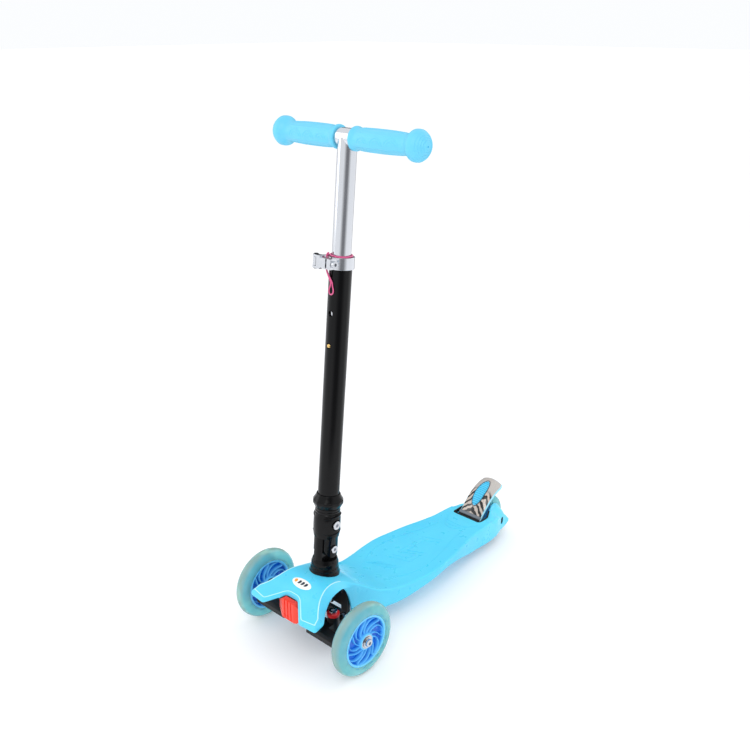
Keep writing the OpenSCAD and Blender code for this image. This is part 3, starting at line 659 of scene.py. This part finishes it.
def make_deck():
    """Outer skin: a height over the plan, worked down at its rim, then a wall to the hem and a thickness.

    The rim goes from a quarter round where it is narrow to a flat chamfer where it is wide.
    """
    loop = outline_loop()
    edge, hem, roll, depth = loop[:, :2], loop[:, 2], loop[:, 3], loop[:, 4]
    crease = inset_loop(loop, roll)
    spacing = 4.0
    xs, ys = np.meshgrid(np.arange(-74, 75, spacing), np.arange(-64, 496, spacing))
    inside = np.stack([xs.ravel() + (np.round(ys.ravel() / spacing) % 2) * spacing / 2, ys.ravel()], -1)
    inside = inside[inside_loop(inside, inset_loop(loop, roll + 2.6))]
    flat = np.concatenate([crease, inside])
    rim = list(range(len(crease)))
    points, _, faces = delaunay_2d_cdt([tuple(p) for p in flat], [], [rim], 1, 1e-4)[:3]
    top = np.array([list(p) for p in points])
    shell = Shell()
    shell.triangles(np.column_stack([top, deck_height(top[:, 0], top[:, 1])]), faces)
    level = deck_height(crease[:, 0], crease[:, 1])
    chamfer = smoothstep(4, 8, roll)
    rows = []
    for out in (0, 0.05, 0.13, 0.3, 0.5, 0.7, 0.86, 0.95, 1.0):
        bowed = 1 - math.sqrt(1 - out**2)
        flat_way = min(out * 0.97, max(0.0, out - 0.03)) + 0.03 * out
        fall = depth * (bowed + (flat_way - bowed) * chamfer)
        height = level - np.minimum(fall, level - hem - 0.6)
        rows.append(np.column_stack([crease + (edge - crease) * out, height]))
    shoulder = rows[-1][:, 2]
    for share in (0.12, 0.4, 0.7, 0.92, 1.0):
        height = shoulder + (np.minimum(hem, shoulder - 0.5) - shoulder) * share
        rows.append(np.column_stack([edge, height]))
    shell.grid(np.stack(rows)[:, ::-1], wrap=True)
    shell.points = [on_plan(p) for p in shell.points]
    deck = add_piece(
        "deck_shell", shell, BODY_OF["deck"], "sky_plastic", stands_for=("deck",), crease=50.0,
        turn_out=False)
    face_up(deck)
    wall = deck.modifiers.new("wall", "SOLIDIFY")
    wall.thickness = WALL * MM
    wall.offset = -1
    wall.use_even_offset = False
    cut_axle_windows(deck)
    make_nose_beads(crease, loop)


def window_ring(radius, rise, turn):
    """Upright oval of the axle window, across and up from its middle: two half circles held apart."""
    return radius * np.cos(turn), radius * np.sin(turn) + rise * np.sign(np.sin(turn))


def cut_axle_windows(deck):
    """Applies the wall, then cuts an upright oval window through each cheek at the rear axle."""
    tools = []
    for side in (1, -1):
        turn = np.arange(40) / 40 * TURN
        ring = np.stack([0 * turn, *window_ring(WINDOW_R, WINDOW_RISE, turn)], -1) + REAR * [0, 1, 1]
        near = ring + [side * 31, 0, 0]
        far = ring + [side * 60, 0, 0]
        shell = Shell().grid(np.stack([near, far]), wrap=True).cap(near).cap(far[::-1])
        mesh = bpy.data.meshes.new("window_tool")
        mesh.from_pydata((np.concatenate(shell.points) * MM).tolist(), [], shell.faces)
        work = bmesh.new()
        work.from_mesh(mesh)
        bmesh.ops.remove_doubles(work, verts=work.verts, dist=2e-6)
        bmesh.ops.recalc_face_normals(work, faces=work.faces)
        work.to_mesh(mesh)
        work.free()
        tool = bpy.data.objects.new("window_tool", mesh)
        bpy.context.scene.collection.objects.link(tool)
        cut = deck.modifiers.new("window", "BOOLEAN")
        cut.operation = "DIFFERENCE"
        cut.object = tool
        tools.append(tool)
    bpy.context.view_layer.update()
    evaluated = deck.evaluated_get(bpy.context.evaluated_depsgraph_get())
    finished = bpy.data.meshes.new_from_object(evaluated)
    deck.modifiers.clear()
    deck.data = finished
    finished.shade_smooth()
    finished.set_sharp_from_angle(angle=math.radians(50))
    for tool in tools:
        bpy.data.objects.remove(tool)


def make_nose_beads(crease, loop):
    """Fine bead along the crease inside the nose's edge, from one arch round the prongs to the other, in a paler
    blue that paints the crease's highlight.
    """
    nose = (loop[:, 1] < 30) & (loop[:, 3] > 3.9)
    start = int(np.argmax(~nose & np.roll(nose, -1))) + 1
    count = int(nose.sum())
    path = np.roll(crease, -start, 0)[:count]
    path = np.column_stack([path, deck_height(path[:, 0], path[:, 1])])
    profile = np.array([[-1.0, -0.4], [-0.7, 0.3], [0, 0.6], [0.7, 0.3], [1.0, -0.4]])
    shell = Shell()
    sweep(shell, on_plan(path), profile, (0, 0, 1))
    add_piece("nose_bead", shell, BODY_OF["deck"], "sky_plastic", "sky_painted_highlight")


def make_slot_gasket():
    """Black rubber edge round the front of the wheel slot: a flat band carried along a rounded U."""
    corner = np.radians(np.linspace(0, 90, 9))
    front = np.stack([25.5 + 5.3 * np.sin(corner), 406.6 - 5.3 * np.cos(corner)], -1)
    half = np.concatenate([[[0, 401.3]], front, [[30.8, 418], [30.6, 425.6], [27, 433], [22.5, 442.5]]])
    path = np.concatenate([(half * [-1, 1])[:0:-1], half])
    level = deck_height(path[:, 0], np.minimum(path[:, 1], CHEEK_START)) - 0.2
    path = np.column_stack([path, level + smoothstep(CHEEK_START, 445, path[:, 1]) * 4.4])
    profile = np.array([[-1.7, -5], [-1.7, 0.3], [-1.1, 0.8], [1.1, 0.8], [1.7, 0.3], [1.7, -5]])
    shell = Shell()
    sweep(shell, on_plan(path), profile, (0, 0, 1))
    add_piece("slot_gasket", shell, BODY_OF["deck"], "black_nylon")


def inside_loop(points, loop):
    """True for points inside a closed outline, by counting crossings of a line to the right."""
    x, y = points[:, 0, None], points[:, 1, None]
    x0, y0 = loop[None, :, 0], loop[None, :, 1]
    x1, y1 = np.roll(loop[:, 0], -1)[None], np.roll(loop[:, 1], -1)[None]
    spans = (y0 > y) != (y1 > y)
    rise = np.where(y1 == y0, 1e-9, y1 - y0)
    return (spans & (x < x0 + (y - y0) * (x1 - x0) / rise)).sum(1) % 2 == 1


def face_up(made):
    """Turns an open skin so that its faces point away from the inside: up on the whole."""
    work = bmesh.new()
    work.from_mesh(made.data)
    bmesh.ops.recalc_face_normals(work, faces=work.faces)
    if sum(face.normal.z * face.calc_area() for face in work.faces) < 0:
        bmesh.ops.reverse_faces(work, faces=work.faces)
    work.to_mesh(made.data)
    work.free()


def deck_line(shell, path, width=1.5, height=0.45, steps=6):
    """A low raised line that follows the tread along a given plan path."""
    route = smooth_curve(path, steps) if steps > 1 else np.asarray(path, float)
    route = np.column_stack([route, deck_height(route[:, 0], route[:, 1]) + 0.2])
    profile = np.array([
        [-width / 2, -0.3], [-width / 2.6, height * 0.6], [0, height], [width / 2.6, height * 0.6],
        [width / 2, -0.3]])
    sweep(shell, on_plan(route), profile, (0, 0, 1))


def make_tread():
    """Raised lines of the tread: a long frame, a folded ribbon inside it, slanted bars and tail arcs."""
    shell = Shell()
    for side in (-1, 1):
        frame_line = [
            [side * 30, 150], [side * 44, 176], [side * 52, 212], [side * 50, 246], [side * 40, 288],
            [side * 31, 322], [side * 27, 352]]
        deck_line(shell, frame_line)
        for k in range(3):
            reach = 34 - 6 * k
            arc = [
                [side * reach, 392 - 9 * k], [side * (reach - 4), 378 - 9 * k],
                [side * (reach - 14), 370 - 9 * k], [0, 368 - 9 * k]]
            deck_line(shell, arc, 1.2, 0.35)
    ribbon = [[-22, 196], [24, 212], [24, 250], [-4, 236], [-4, 282], [22, 296]]
    deck_line(shell, ribbon, steps=1)
    inner = [[-14, 208], [15, 220], [15, 238], [-13, 222], [-13, 290], [20, 306]]
    deck_line(shell, inner, 1.2, 0.35, steps=1)
    for k in range(5):
        bar = [[-30 + 9 * k, 158 + 3 * k], [-12 + 9 * k, 178 + 3 * k]]
        deck_line(shell, bar, 1.8, 0.4, steps=1)
    add_piece("deck_tread_lines", shell, BODY_OF["deck"], "sky_plastic")


def make_axle_cups():
    """Black oval caps set into the cheeks' windows, dished over the rear axle's bolt heads."""
    rings, around = np.meshgrid(np.linspace(0, 1, 8), np.arange(48) / 48 * TURN, indexing="ij")
    axle_y = REAR[1] - on_plan([0.0, 0.0, 0.0])[1]
    for side, word in ((1, "left"), (-1, "right")):
        back, rise = window_ring(WINDOW_R - 0.1, WINDOW_RISE, around)
        y = axle_y + rings * back
        z = REAR[2] + rings * rise
        depth = 0.9 + 1.2 * smoothstep(0.95, 0.6, rings) + 2.4 * smoothstep(0.985, 1.0, rings)
        x = np.interp(y, SIDE[:, 0], SIDE[:, 1]) - depth
        shell = Shell().grid(on_plan(np.stack([side * x, y, z], -1)), wrap=True)
        add_piece("axle_cup_" + word, shell, BODY_OF["rear_axle_bolt"], "black_steel", "black_gloss")


def make_badge():
    """Oval sticker on the nose, with a plain sun and three slanted strokes as its only marks."""
    def lie(u, v, lift):
        """Point of the sticker, laid on the nose and lifted off it."""
        x, y = u * BADGE_HALF[0], BADGE_Y + v * BADGE_HALF[1]
        return on_plan(np.stack([x, y, deck_height(x, y) + lift], -1))

    def disc(radius, centre, lift, rise):
        """Oval of rings whose rim falls by rise."""
        rings, around = np.meshgrid(np.linspace(0, 1, 9), np.arange(48) / 48 * TURN, indexing="ij")
        u = centre[0] + rings * radius[0] * np.cos(around)
        v = centre[1] + rings * radius[1] * np.sin(around)
        edge = lift - rise * smoothstep(0.92, 1.0, rings)
        return lie(u, v, edge)

    shell = Shell().grid(disc((1, 1), (0, 0), 0.75, 0.9), wrap=True)
    add_piece("badge_oval", shell, BODY_OF["badge"], "badge_white", stands_for=("badge",), turn_out=False)
    sun = Shell().grid(disc((0.15, 0.38), (-0.62, 0), 0.95, 0.3), wrap=True)
    add_piece("badge_sun", sun, BODY_OF["badge"], "badge_white", "mark_orange", turn_out=False)
    strokes = Shell()
    for k in range(3):
        start = -0.32 + 0.34 * k
        u, v = np.meshgrid(np.linspace(0, 0.24, 7), np.linspace(-0.42, 0.42, 7), indexing="ij")
        width = 0.5 + 0.5 * np.cos(v * 3.0)
        strokes.grid(lie(start + u * width + v * 0.12, v * 0.9, 0.95))
    add_piece("badge_strokes", strokes, BODY_OF["badge"], "badge_white", "mark_ink", turn_out=False)


# ---- wheels ----
def make_tyre(word, centre, radius):
    """Round tread, shoulder line and bead, turned about the axle."""
    arc = np.radians(np.linspace(-108, 108, 45))
    crown = np.stack([TYRE_HALF * np.sin(arc), radius - 12 + 12 * np.cos(arc)], -1)
    crown[:, 1] -= 0.35 * np.exp(-(((np.abs(np.degrees(arc)) - 82) / 3.5) ** 2))
    foot = radius - 17.6
    bead = [[11.0, radius - 16.2], [10.7, radius - 17.2], [10.0, foot]]
    profile = np.array([[-x, r] for x, r in bead[::-1]] + crown.tolist() + bead)
    skin = np.clip((profile[:, 1] - (radius - 9)) / 9, 0, 1)
    shell = Shell()
    revolve(shell, profile, centre, (1, 0, 0), (0, 0, 1), 144, value=skin, wrap_profile=True)
    body = BODY_OF["tyre_" + word]
    add_piece("tyre_" + word + "_cast", shell, body, "tyre_aqua", stands_for=("tyre_" + word,), value="skin")
    keys = Shell()
    count = 18 if radius > 50 else 12
    for side in (-1, 1):
        for k in range(count):
            turn = (k + np.linspace(0.18, 0.62, 9)) / count * TURN
            place = radius - 15.2
            bow = np.stack([np.full(9, side * 10.9), place * np.sin(turn), place * np.cos(turn)], -1)
            sweep(keys, centre + bow, circle(0.85, 8), (side, 0, 0))
    add_piece("tyre_keys_" + word, keys, body, "rim_blue", "key_teal")


def leaf_path(count, index, hub, reach, side):
    """One looped rib: out along one edge of a swirled leaf, round its tip and back to the hub."""
    out = np.linspace(0, 1, 26)
    belly = 0.16 + 0.19 * np.sin(math.pi * out**0.8 * 0.62)
    width = TURN / count * belly * np.sqrt(1 - out**7)
    swirl = 0.8 * out**1.2
    radius = hub + (reach - hub) * out
    base = index / count * TURN
    angle = np.concatenate([base + swirl - width, (base + swirl + width)[-2::-1]])
    radius = np.concatenate([radius, radius[-2::-1]])
    return angle * side, radius


def make_rim(word, centre, radius, leaves):
    """Ring, web and hub turned about the axle, with looped ribs standing on both faces of the web."""
    ring_in, ring_out = radius - 21.3, radius - 17.4
    profile = [
        [0, ring_out], [9.2, ring_out], [10.3, ring_out - 0.6], [10.6, ring_out - 1.6],
        [10.2, ring_in + 0.5], [9.0, ring_in], [3.6, ring_in - 0.8], [3.0, ring_in - 2.2],
        [2.6, ring_in - 5], [2.6, 17], [3.4, 15], [9.6, 13.6], [11.2, 13.2], [11.8, 12.4], [11.8, 11.2],
        [5.4, 11.05], [5.4, 8.0], [0, 8.0]]
    # how high each profile point stands: the rim material paints shade on the low points and a highlight on the
    # high ones
    raised = [0.2, 0.4, 1, 1, 1, 0.7, 0, 0, 0, 0, 0.1, 0.8, 1, 1, 0.8, 0.2, 0.1, 0.1]
    whole = np.array(profile + [[-a, r] for a, r in profile[-2:0:-1]])
    level = np.array(raised + raised[-2:0:-1])
    shell = Shell()
    revolve(shell, whole, centre, (1, 0, 0), (0, 0, 1), 120, value=level, wrap_profile=True)
    foot, crest, half = 2.2, 9.0, 0.5
    outline = np.array([
        [-half - 0.7, foot], [-half, crest - 0.8], [-half + 0.45, crest], [half - 0.45, crest],
        [half, crest - 0.8], [half + 0.7, foot]])
    for side in (-1, 1):
        for k in range(leaves):
            angle, reach = leaf_path(leaves, k, 13.4, ring_in + 0.4, side)
            rib = np.stack([np.zeros_like(angle), reach * np.sin(angle), reach * np.cos(angle)], -1)
            # rib feet low and crests high: the rim material paints a highlight on these crests
            level = np.broadcast_to(np.array([0.1, 0.9, 1, 1, 0.9, 0.1]), (len(rib), 6))
            sweep(shell, centre + rib, outline, (side, 0, 0), value=level)
    rim = "rim_" + word
    add_piece(rim + "_moulded", shell, BODY_OF[rim], "rim_blue", stands_for=(rim,), value="raised")


def bolt(name, node, centre, axis, side, head_r, head_h, shank_r, shank, washer):
    """Round-headed bolt on its washer, with a hexagonal socket: the socket's rings are six-sided."""
    socket = 2.6
    rows = np.array([
        [head_h - 2.6, 0, 0], [head_h - 2.6, socket, 1], [head_h - 0.4, socket, 1],
        [head_h, socket * 1.16, 0.4], [head_h, head_r * 0.72, 0], [head_h * 0.86, head_r * 0.93, 0],
        [head_h * 0.6, head_r, 0], [0.0, head_r, 0], [0.0, washer - 0.3, 0], [-0.3, washer, 0],
        [-1.2, washer, 0], [-1.2, shank_r, 0], [-shank, shank_r, 0], [-shank, 0, 0]])
    turn = np.arange(72) / 72 * TURN
    six = math.cos(math.pi / 6) / np.cos((turn % (TURN / 6)) - math.pi / 6)
    shape = 1 + rows[:, 2, None] * (six[None] - 1)
    shell = Shell()
    revolve(shell, rows[:, :2], centre, axis, side, 72, shape=lambda t, a, r: r * shape)
    add_piece(name, shell, BODY_OF[node], "steel", stands_for=(node,), crease=28.0)


# ---- brake ----
FENDER_SIDE = np.array([
    [409.5, 54], [415, 60.5], [424, 70], [434, 79.5], [445, 88.5], [457, 95.5], [470, 100.5], [483, 103]])
FENDER_HALF = size("brake_fender")[0] / 2
PAD_MIDDLE = 0.60
PAD_REACH = 0.27
PAD_HALF = 10.3


def fender_point(along, across, height):
    """Point of the fender: along its side line from 0 to 1, across from -1 to 1, height above it."""
    fine = smooth_curve(FENDER_SIDE, 12)
    share = np.linspace(0, 1, len(fine))
    y, z = np.interp(along, share, fine[:, 0]), np.interp(along, share, fine[:, 1])
    slope = np.gradient(fine, axis=0)
    ty, tz = np.interp(along, share, slope[:, 0]), np.interp(along, share, slope[:, 1])
    norm = np.hypot(ty, tz)
    crown = 9 * np.clip(along * 7 / 4, 0, 1)
    rise = height + crown * (1 - across**2)
    x = across * FENDER_HALF + 0 * y
    return on_plan(np.stack([x, y - tz / norm * rise, z + ty / norm * rise], -1))


def fender_skin(over, under, edge, start, end):
    """Closed shell between two heights over the fender: its section is a flat loop with round ends."""
    side = np.linspace(-1, 1, 41)
    across = np.concatenate([side * edge, (side * edge)[::-1]])
    height = np.concatenate([np.full(41, over), np.full(41, under)])
    lip = smoothstep(1.0, 0.955, np.abs(across) / edge)
    centre = (over + under) / 2
    height = centre + (height - centre) * (1 - 0.7 * (1 - lip))
    along, across = np.meshgrid(np.linspace(start, end, 60), across, indexing="ij")
    trim = 1 - 0.10 * smoothstep(0.86, 1.0, along) ** 2
    points = fender_point(along, across * trim, np.broadcast_to(height, along.shape))
    uv = np.stack([across / 2 / edge + 0.5, (along - start) / (end - start)], -1)
    shell = Shell().grid(points, wrap=True, uv=uv)
    shell.cap(points[0])
    shell.cap(points[-1][::-1])
    return shell


def make_fender():
    """Light blue shell, printed film on top, dark lip along the hinge edge and the ribbed oval pad."""
    body = BODY_OF["brake_fender"]
    shell = fender_skin(-0.5, -3.0, 1.0, 0, 1)
    add_piece("fender_shell", shell, body, "fender_print", "fender_blue", stands_for=("brake_fender",))
    add_piece("fender_film", fender_skin(0.0, -0.7, 0.93, 0.15, 0.985), body, "fender_print")
    side = np.linspace(-0.96, 0.96, 33)
    for name, share, height, reach, thick, look in (
        ("fender_lip", 0.125, 0.6, 3.4, 2.0, "lip_grey"),
        ("fender_root", 0.05, 1.3, 3.0, 1.1, "black_nylon"),
    ):
        path = fender_point(np.full(33, share), side, np.full(33, height))
        bar = Shell()
        sweep(bar, path, circle(1.0, 20) * [reach, thick], (0, -0.6, 0.8))
        add_piece(name, bar, body, "fender_print", look)
    rings, around = np.meshgrid(np.linspace(0, 1, 40), np.arange(96) / 96 * TURN, indexing="ij")
    across = PAD_HALF / FENDER_HALF * rings * np.cos(around)
    along = PAD_MIDDLE + PAD_REACH * rings * np.sin(around)
    ribs = 0.22 * np.cos(along * 150) * np.cos(across * 52) * smoothstep(0.9, 0.75, rings)
    height = 1.55 * (1 - rings**10) + ribs - 0.3 * (rings >= 1)
    pad = Shell().grid(fender_point(along, across, height), wrap=True)
    add_piece("pad_ribbed", pad, body, "pad_blue", stands_for=("foot_pad",), turn_out=False)
    turn = np.arange(96) / 96 * TURN
    along = PAD_MIDDLE + 0.282 * np.sin(turn)
    border = fender_point(along, 10.9 / FENDER_HALF * np.cos(turn), 0.25 + 0 * turn)
    ring = Shell()
    sweep(ring, border, circle(0.6, 8), (0, 0.3, 1), closed=True)
    add_piece("pad_border", ring, body, "pad_blue", "mark_ink")
    ribs = Shell()
    for along in np.linspace(0.37, 0.83, 13):
        reach = PAD_HALF / FENDER_HALF * math.sqrt(1 - ((along - PAD_MIDDLE) / PAD_REACH) ** 2)
        path = fender_point(np.full(9, along), np.linspace(-reach, reach, 9), np.full(9, 1.5))
        sweep(ribs, path, circle(0.42, 6), (0, 0.3, 1))
    add_piece("pad_cross_ribs", ribs, body, "pad_blue", "key_teal")


# ---- handlebar ----
GRIP = np.array([
    [14.6, 11.6], [14.6, 15.6], [15.2, 16.6], [16.4, 17.1], [19, 17.1], [21, 16.2], [25, 15.4],
    [34, 15.6], [45, 15.9], [58, 16.0], [70, 16.0], [84, 15.8], [95, 15.4], [104, 15.0], [112, 14.9],
    [117, 15.9], [121, 18.8], [124.5, 21.1], [128, 21.6], [132, 21.4]])


def grip_relief(turn, along, radius):
    """Raised pattern in millimetres: ribs on top and below, and looped waves on the two sides."""
    wide = np.abs((turn + math.pi) % TURN - math.pi)
    ends = smoothstep(26, 32, along) * smoothstep(110, 104, along)
    cresting = smoothstep(0.42, 0.30, np.minimum(wide, math.pi - wide))
    ribs = 0.5 * np.cos(along * TURN / 3.4) * cresting
    wrap = np.minimum((turn - math.pi / 2) % TURN, (math.pi / 2 - turn) % TURN)
    other = np.minimum((turn + math.pi / 2) % TURN, (-math.pi / 2 - turn) % TURN)
    height = np.where(np.sin(turn) > 0, wrap, other) * np.sign(np.cos(turn)) * radius
    waves = 0.0
    for centre, reach in ((40, 9.0), (66, 10.5), (93, 12.0)):
        far = np.hypot(along - centre, (height + 5.0) * 1.15)
        for ring in (reach, reach - 4.2):
            waves = waves + 0.7 * np.exp(-(((far - ring) / 0.8) ** 2)) * smoothstep(-6.5, -3.0, height)
    border = 0.6 * np.exp(-(((np.abs(height) - 9.6) / 0.9) ** 2))
    return (ribs + waves * (np.abs(height) < 9.5) + border) * ends


def make_grips():
    """Moulded grip turned about the crossbar with its relief, and a domed end of concentric rings."""
    body = smooth_curve(GRIP, 5)
    fine = np.linspace(20, 112, 231)
    sleeve = np.column_stack([fine, np.interp(fine, body[:, 0], body[:, 1])])
    profile = np.concatenate([body[body[:, 0] < 20], sleeve, body[body[:, 0] > 112]])
    dome = np.linspace(0, 1, 60)
    radius = 21.4 * (1 - dome)
    along = 132 + 14 * (1 - (1 - dome) ** 2) ** 0.8
    rings = 0.5 * np.cos(radius * TURN / 3.1) * smoothstep(5.2, 7.5, radius) * smoothstep(19.6, 18.6, radius)
    pin = -2.2 * smoothstep(1.3, 0.9, radius)
    cap = np.column_stack([np.minimum(along + rings, 145.95) + pin, radius])
    profile = np.concatenate([profile, cap[1:]])
    centre = on_bar(0, 0, BAR_TOP_S)
    for side, word in ((1, "left"), (-1, "right")):
        shell = Shell()
        revolve(shell, profile, centre, (side, 0, 0), UP, 192,
                shape=lambda turn, along, r: r + grip_relief(turn, along, r))
        grip = "grip_" + word
        add_piece(grip + "_moulded", shell, BODY_OF[grip], "grip_foam", stands_for=(grip,), crease=60.0)


# ---- folding joint ----
def make_collar():
    """Sliding collar: its flared band is cut into flats so that it can be gripped."""
    profile = smooth_curve([
        [0, TUBE_R + 0.1], [0, 20.6], [0.4, 21.1], [3, 22.3], [6, 23.9], [7.2, 24.2], [10.6, 24.2],
        [12, 23.3], [16, 20.9], [20.4, 18.9], [21.4, 18.2], [21.5, TUBE_R + 0.1]], 4)
    flats = 12

    def shape(turn, along, radius):
        """Radius pulled in to the flats over the flared band."""
        flat = math.cos(math.pi / flats) / np.cos(turn % (TURN / flats) - math.pi / flats)
        share = smoothstep(2, 6.5, along) * smoothstep(13.5, 10.6, along)
        return radius * (1 + share * (np.minimum(flat * 1.012, 1) - 1))

    shell = Shell()
    revolve(shell, profile, on_bar(0, 0, 111.3), UP, ACROSS, 144, shape=shape, wrap_profile=True)
    body = BODY_OF["fold_collar"]
    add_piece("collar_flared", shell, body, "black_gloss", stands_for=("fold_collar",), crease=24.0)


def make_barrel_trim():
    """Raised lips above and below the tube bolt on each side of the folding barrel."""
    shell = Shell()
    for side in (-1, 1):
        for rise, bow, reach in ((96.0, 2.5, 1.05), (71.5, -2.5, 1.05)):
            turn = np.linspace(-reach, reach, 33)
            lean = side * np.cos(turn)
            along = rise + bow * np.cos(turn * 1.4) + 1.6 * np.sin(turn * 2.0)
            radius = 21.5 - 0.5 * np.abs(turn)
            path = on_bar(radius * lean, radius * np.sin(turn), along)
            scale = 0.35 + 0.65 * np.cos(turn / reach * 1.5)
            sweep(shell, path, circle(1.3, 12), UP, scale=np.maximum(scale, 0.05))
    add_piece("barrel_lips", shell, BODY_OF["fold_barrel"], "black_gloss")


# ---- tether and snap button ----
TETHER_TURN = math.radians(229)
# route, listed point by point, from the knot down, round the loop and back up: sideways, outward, along the bar
TETHER = [
    [-1.4, 20.6, 506.4], [-1.6, 21.4, 503], [-1.6, 21.6, 496], [-1.6, 21.5, 489], [-0.8, 20.9, 484.5],
    [2, 19.7, 480], [6, 17.8, 475.5], [9.6, 15.8, 471], [11.6, 14.3, 466.5], [11, 14.9, 461.5],
    [9.8, 16, 456.8], [10.1, 15.7, 452.2], [12.7, 13.3, 449.6], [15.3, 10.7, 452.2], [15.7, 10.3, 456.8],
    [14.5, 11.5, 461.5], [13.8, 12.2, 466.5], [12, 14.1, 471], [8.8, 16.6, 475.5], [5.2, 18.8, 480],
    [2.4, 20.6, 484.5], [1.6, 21.5, 489], [1.6, 21.6, 496], [1.6, 21.4, 503], [1.4, 20.6, 506.4]]


def beside_bar(sideways, outward, along):
    """Point by the tether's knot: outward from the bar at the knot's turn, sideways round it."""
    c, s = math.cos(TETHER_TURN), math.sin(TETHER_TURN)
    return on_bar(outward * c - sideways * s, outward * s + sideways * c, along)


def make_tether():
    """Braided loop that hangs from its knot, and the ring of cord with the knot itself."""
    route = smooth_curve(TETHER, 6)
    path = beside_bar(route[:, 0], route[:, 1], route[:, 2])
    length = float(np.linalg.norm(np.diff(path, axis=0), axis=1).sum()) * MM
    shell = Shell()
    sweep(shell, path, circle(1.0, 14), beside_bar(0, 1, 0) - beside_bar(0, 0, 0))
    body = BODY_OF["tether_loop"]
    loop = add_piece("tether_braid", shell, body, "tether_pink", stands_for=("tether_loop",))
    band = Shell()
    turn = np.arange(96) / 96 * TURN
    ring_r = STEM_R + 2.3
    ring = on_bar(ring_r * np.cos(turn), ring_r * np.sin(turn), 505.3 + 0.35 * np.sin(turn * 2))
    sweep(band, ring, circle(1.15, 14), UP, closed=True)
    t = np.arange(120) / 120 * TURN
    knot_side = np.sin(t) + 1.6 * np.sin(2 * t)
    knot_up = np.cos(t) - 1.6 * np.cos(2 * t)
    knot = beside_bar(knot_side, 19.3 - 0.9 * np.sin(3 * t), 506.3 + knot_up)
    sweep(band, knot, circle(0.95, 12), beside_bar(0, 1, 0) - beside_bar(0, 0, 0), closed=True)
    add_piece("tether_ring", band, BODY_OF["tether_band"], "tether_pink", stands_for=("tether_band",))


def make_snap_dome():
    """Brass button: a short post with a round crown, standing in its height hole."""
    profile = [[9.6, 0], [9.6, 3.3], [15.6, 3.3], [16.6, 3.05], [17.5, 2.4], [18.1, 1.4], [18.3, 0]]
    snap_s = float((middle("snap_button") - BAR_BASE) @ UP)
    shell = Shell()
    revolve(shell, smooth_curve(profile, 3), on_bar(0, 0, snap_s), -OUT, ACROSS, 40)
    add_piece("snap_dome", shell, BODY_OF["snap_button"], "brass", stands_for=("snap_button",))


# ---- everything together ----
make_camera()
MATERIALS = make_materials()
make_studio()
make_tether()
make_deck()
make_tread()
make_axle_cups()
make_slot_gasket()
make_badge()
for wheel, wheel_r, leaf_count in (("left", FRONT_R, 7), ("right", FRONT_R, 7), ("rear", REAR_R, 6)):
    wheel_middle = middle("tyre_" + wheel)
    make_tyre(wheel, wheel_middle, wheel_r)
    make_rim(wheel, wheel_middle, wheel_r, leaf_count)
for hand, word in ((1, "left"), (-1, "right")):
    hub_face = middle("tyre_" + word) + [hand * (TYRE_HALF + 1.4), 0, 0]
    bolt("axle_bolt_" + word + "_domed", "axle_bolt_" + word, hub_face, (hand, 0, 0), (0, 0, 1),
         head_r=6.2, head_h=4.4, shank_r=3.95, shank=42, washer=8.6)
make_fender()
make_grips()
make_collar()
make_barrel_trim()
make_snap_dome()
for node_name, edge_width in (
    ("nose_frame", 0.8), ("knuckle_left", 1.6), ("knuckle_right", 1.6), ("axle_beam", 1.2),
    ("clamp_ring", 0.7), ("cam_block", 0.7), ("clamp_lever", 0.9), ("tie_rod", 0.6), ("brake_lining", 0.6),
    ("fold_base", 0.6), ("fold_barrel", 0.5),
):
    soften(node_name, edge_width)
for node_name, made in NODES.items():
    if not made.hide_render:
        made.data.materials.clear()
        made.data.materials.append(MATERIALS[SLOT_OF[node_name]])
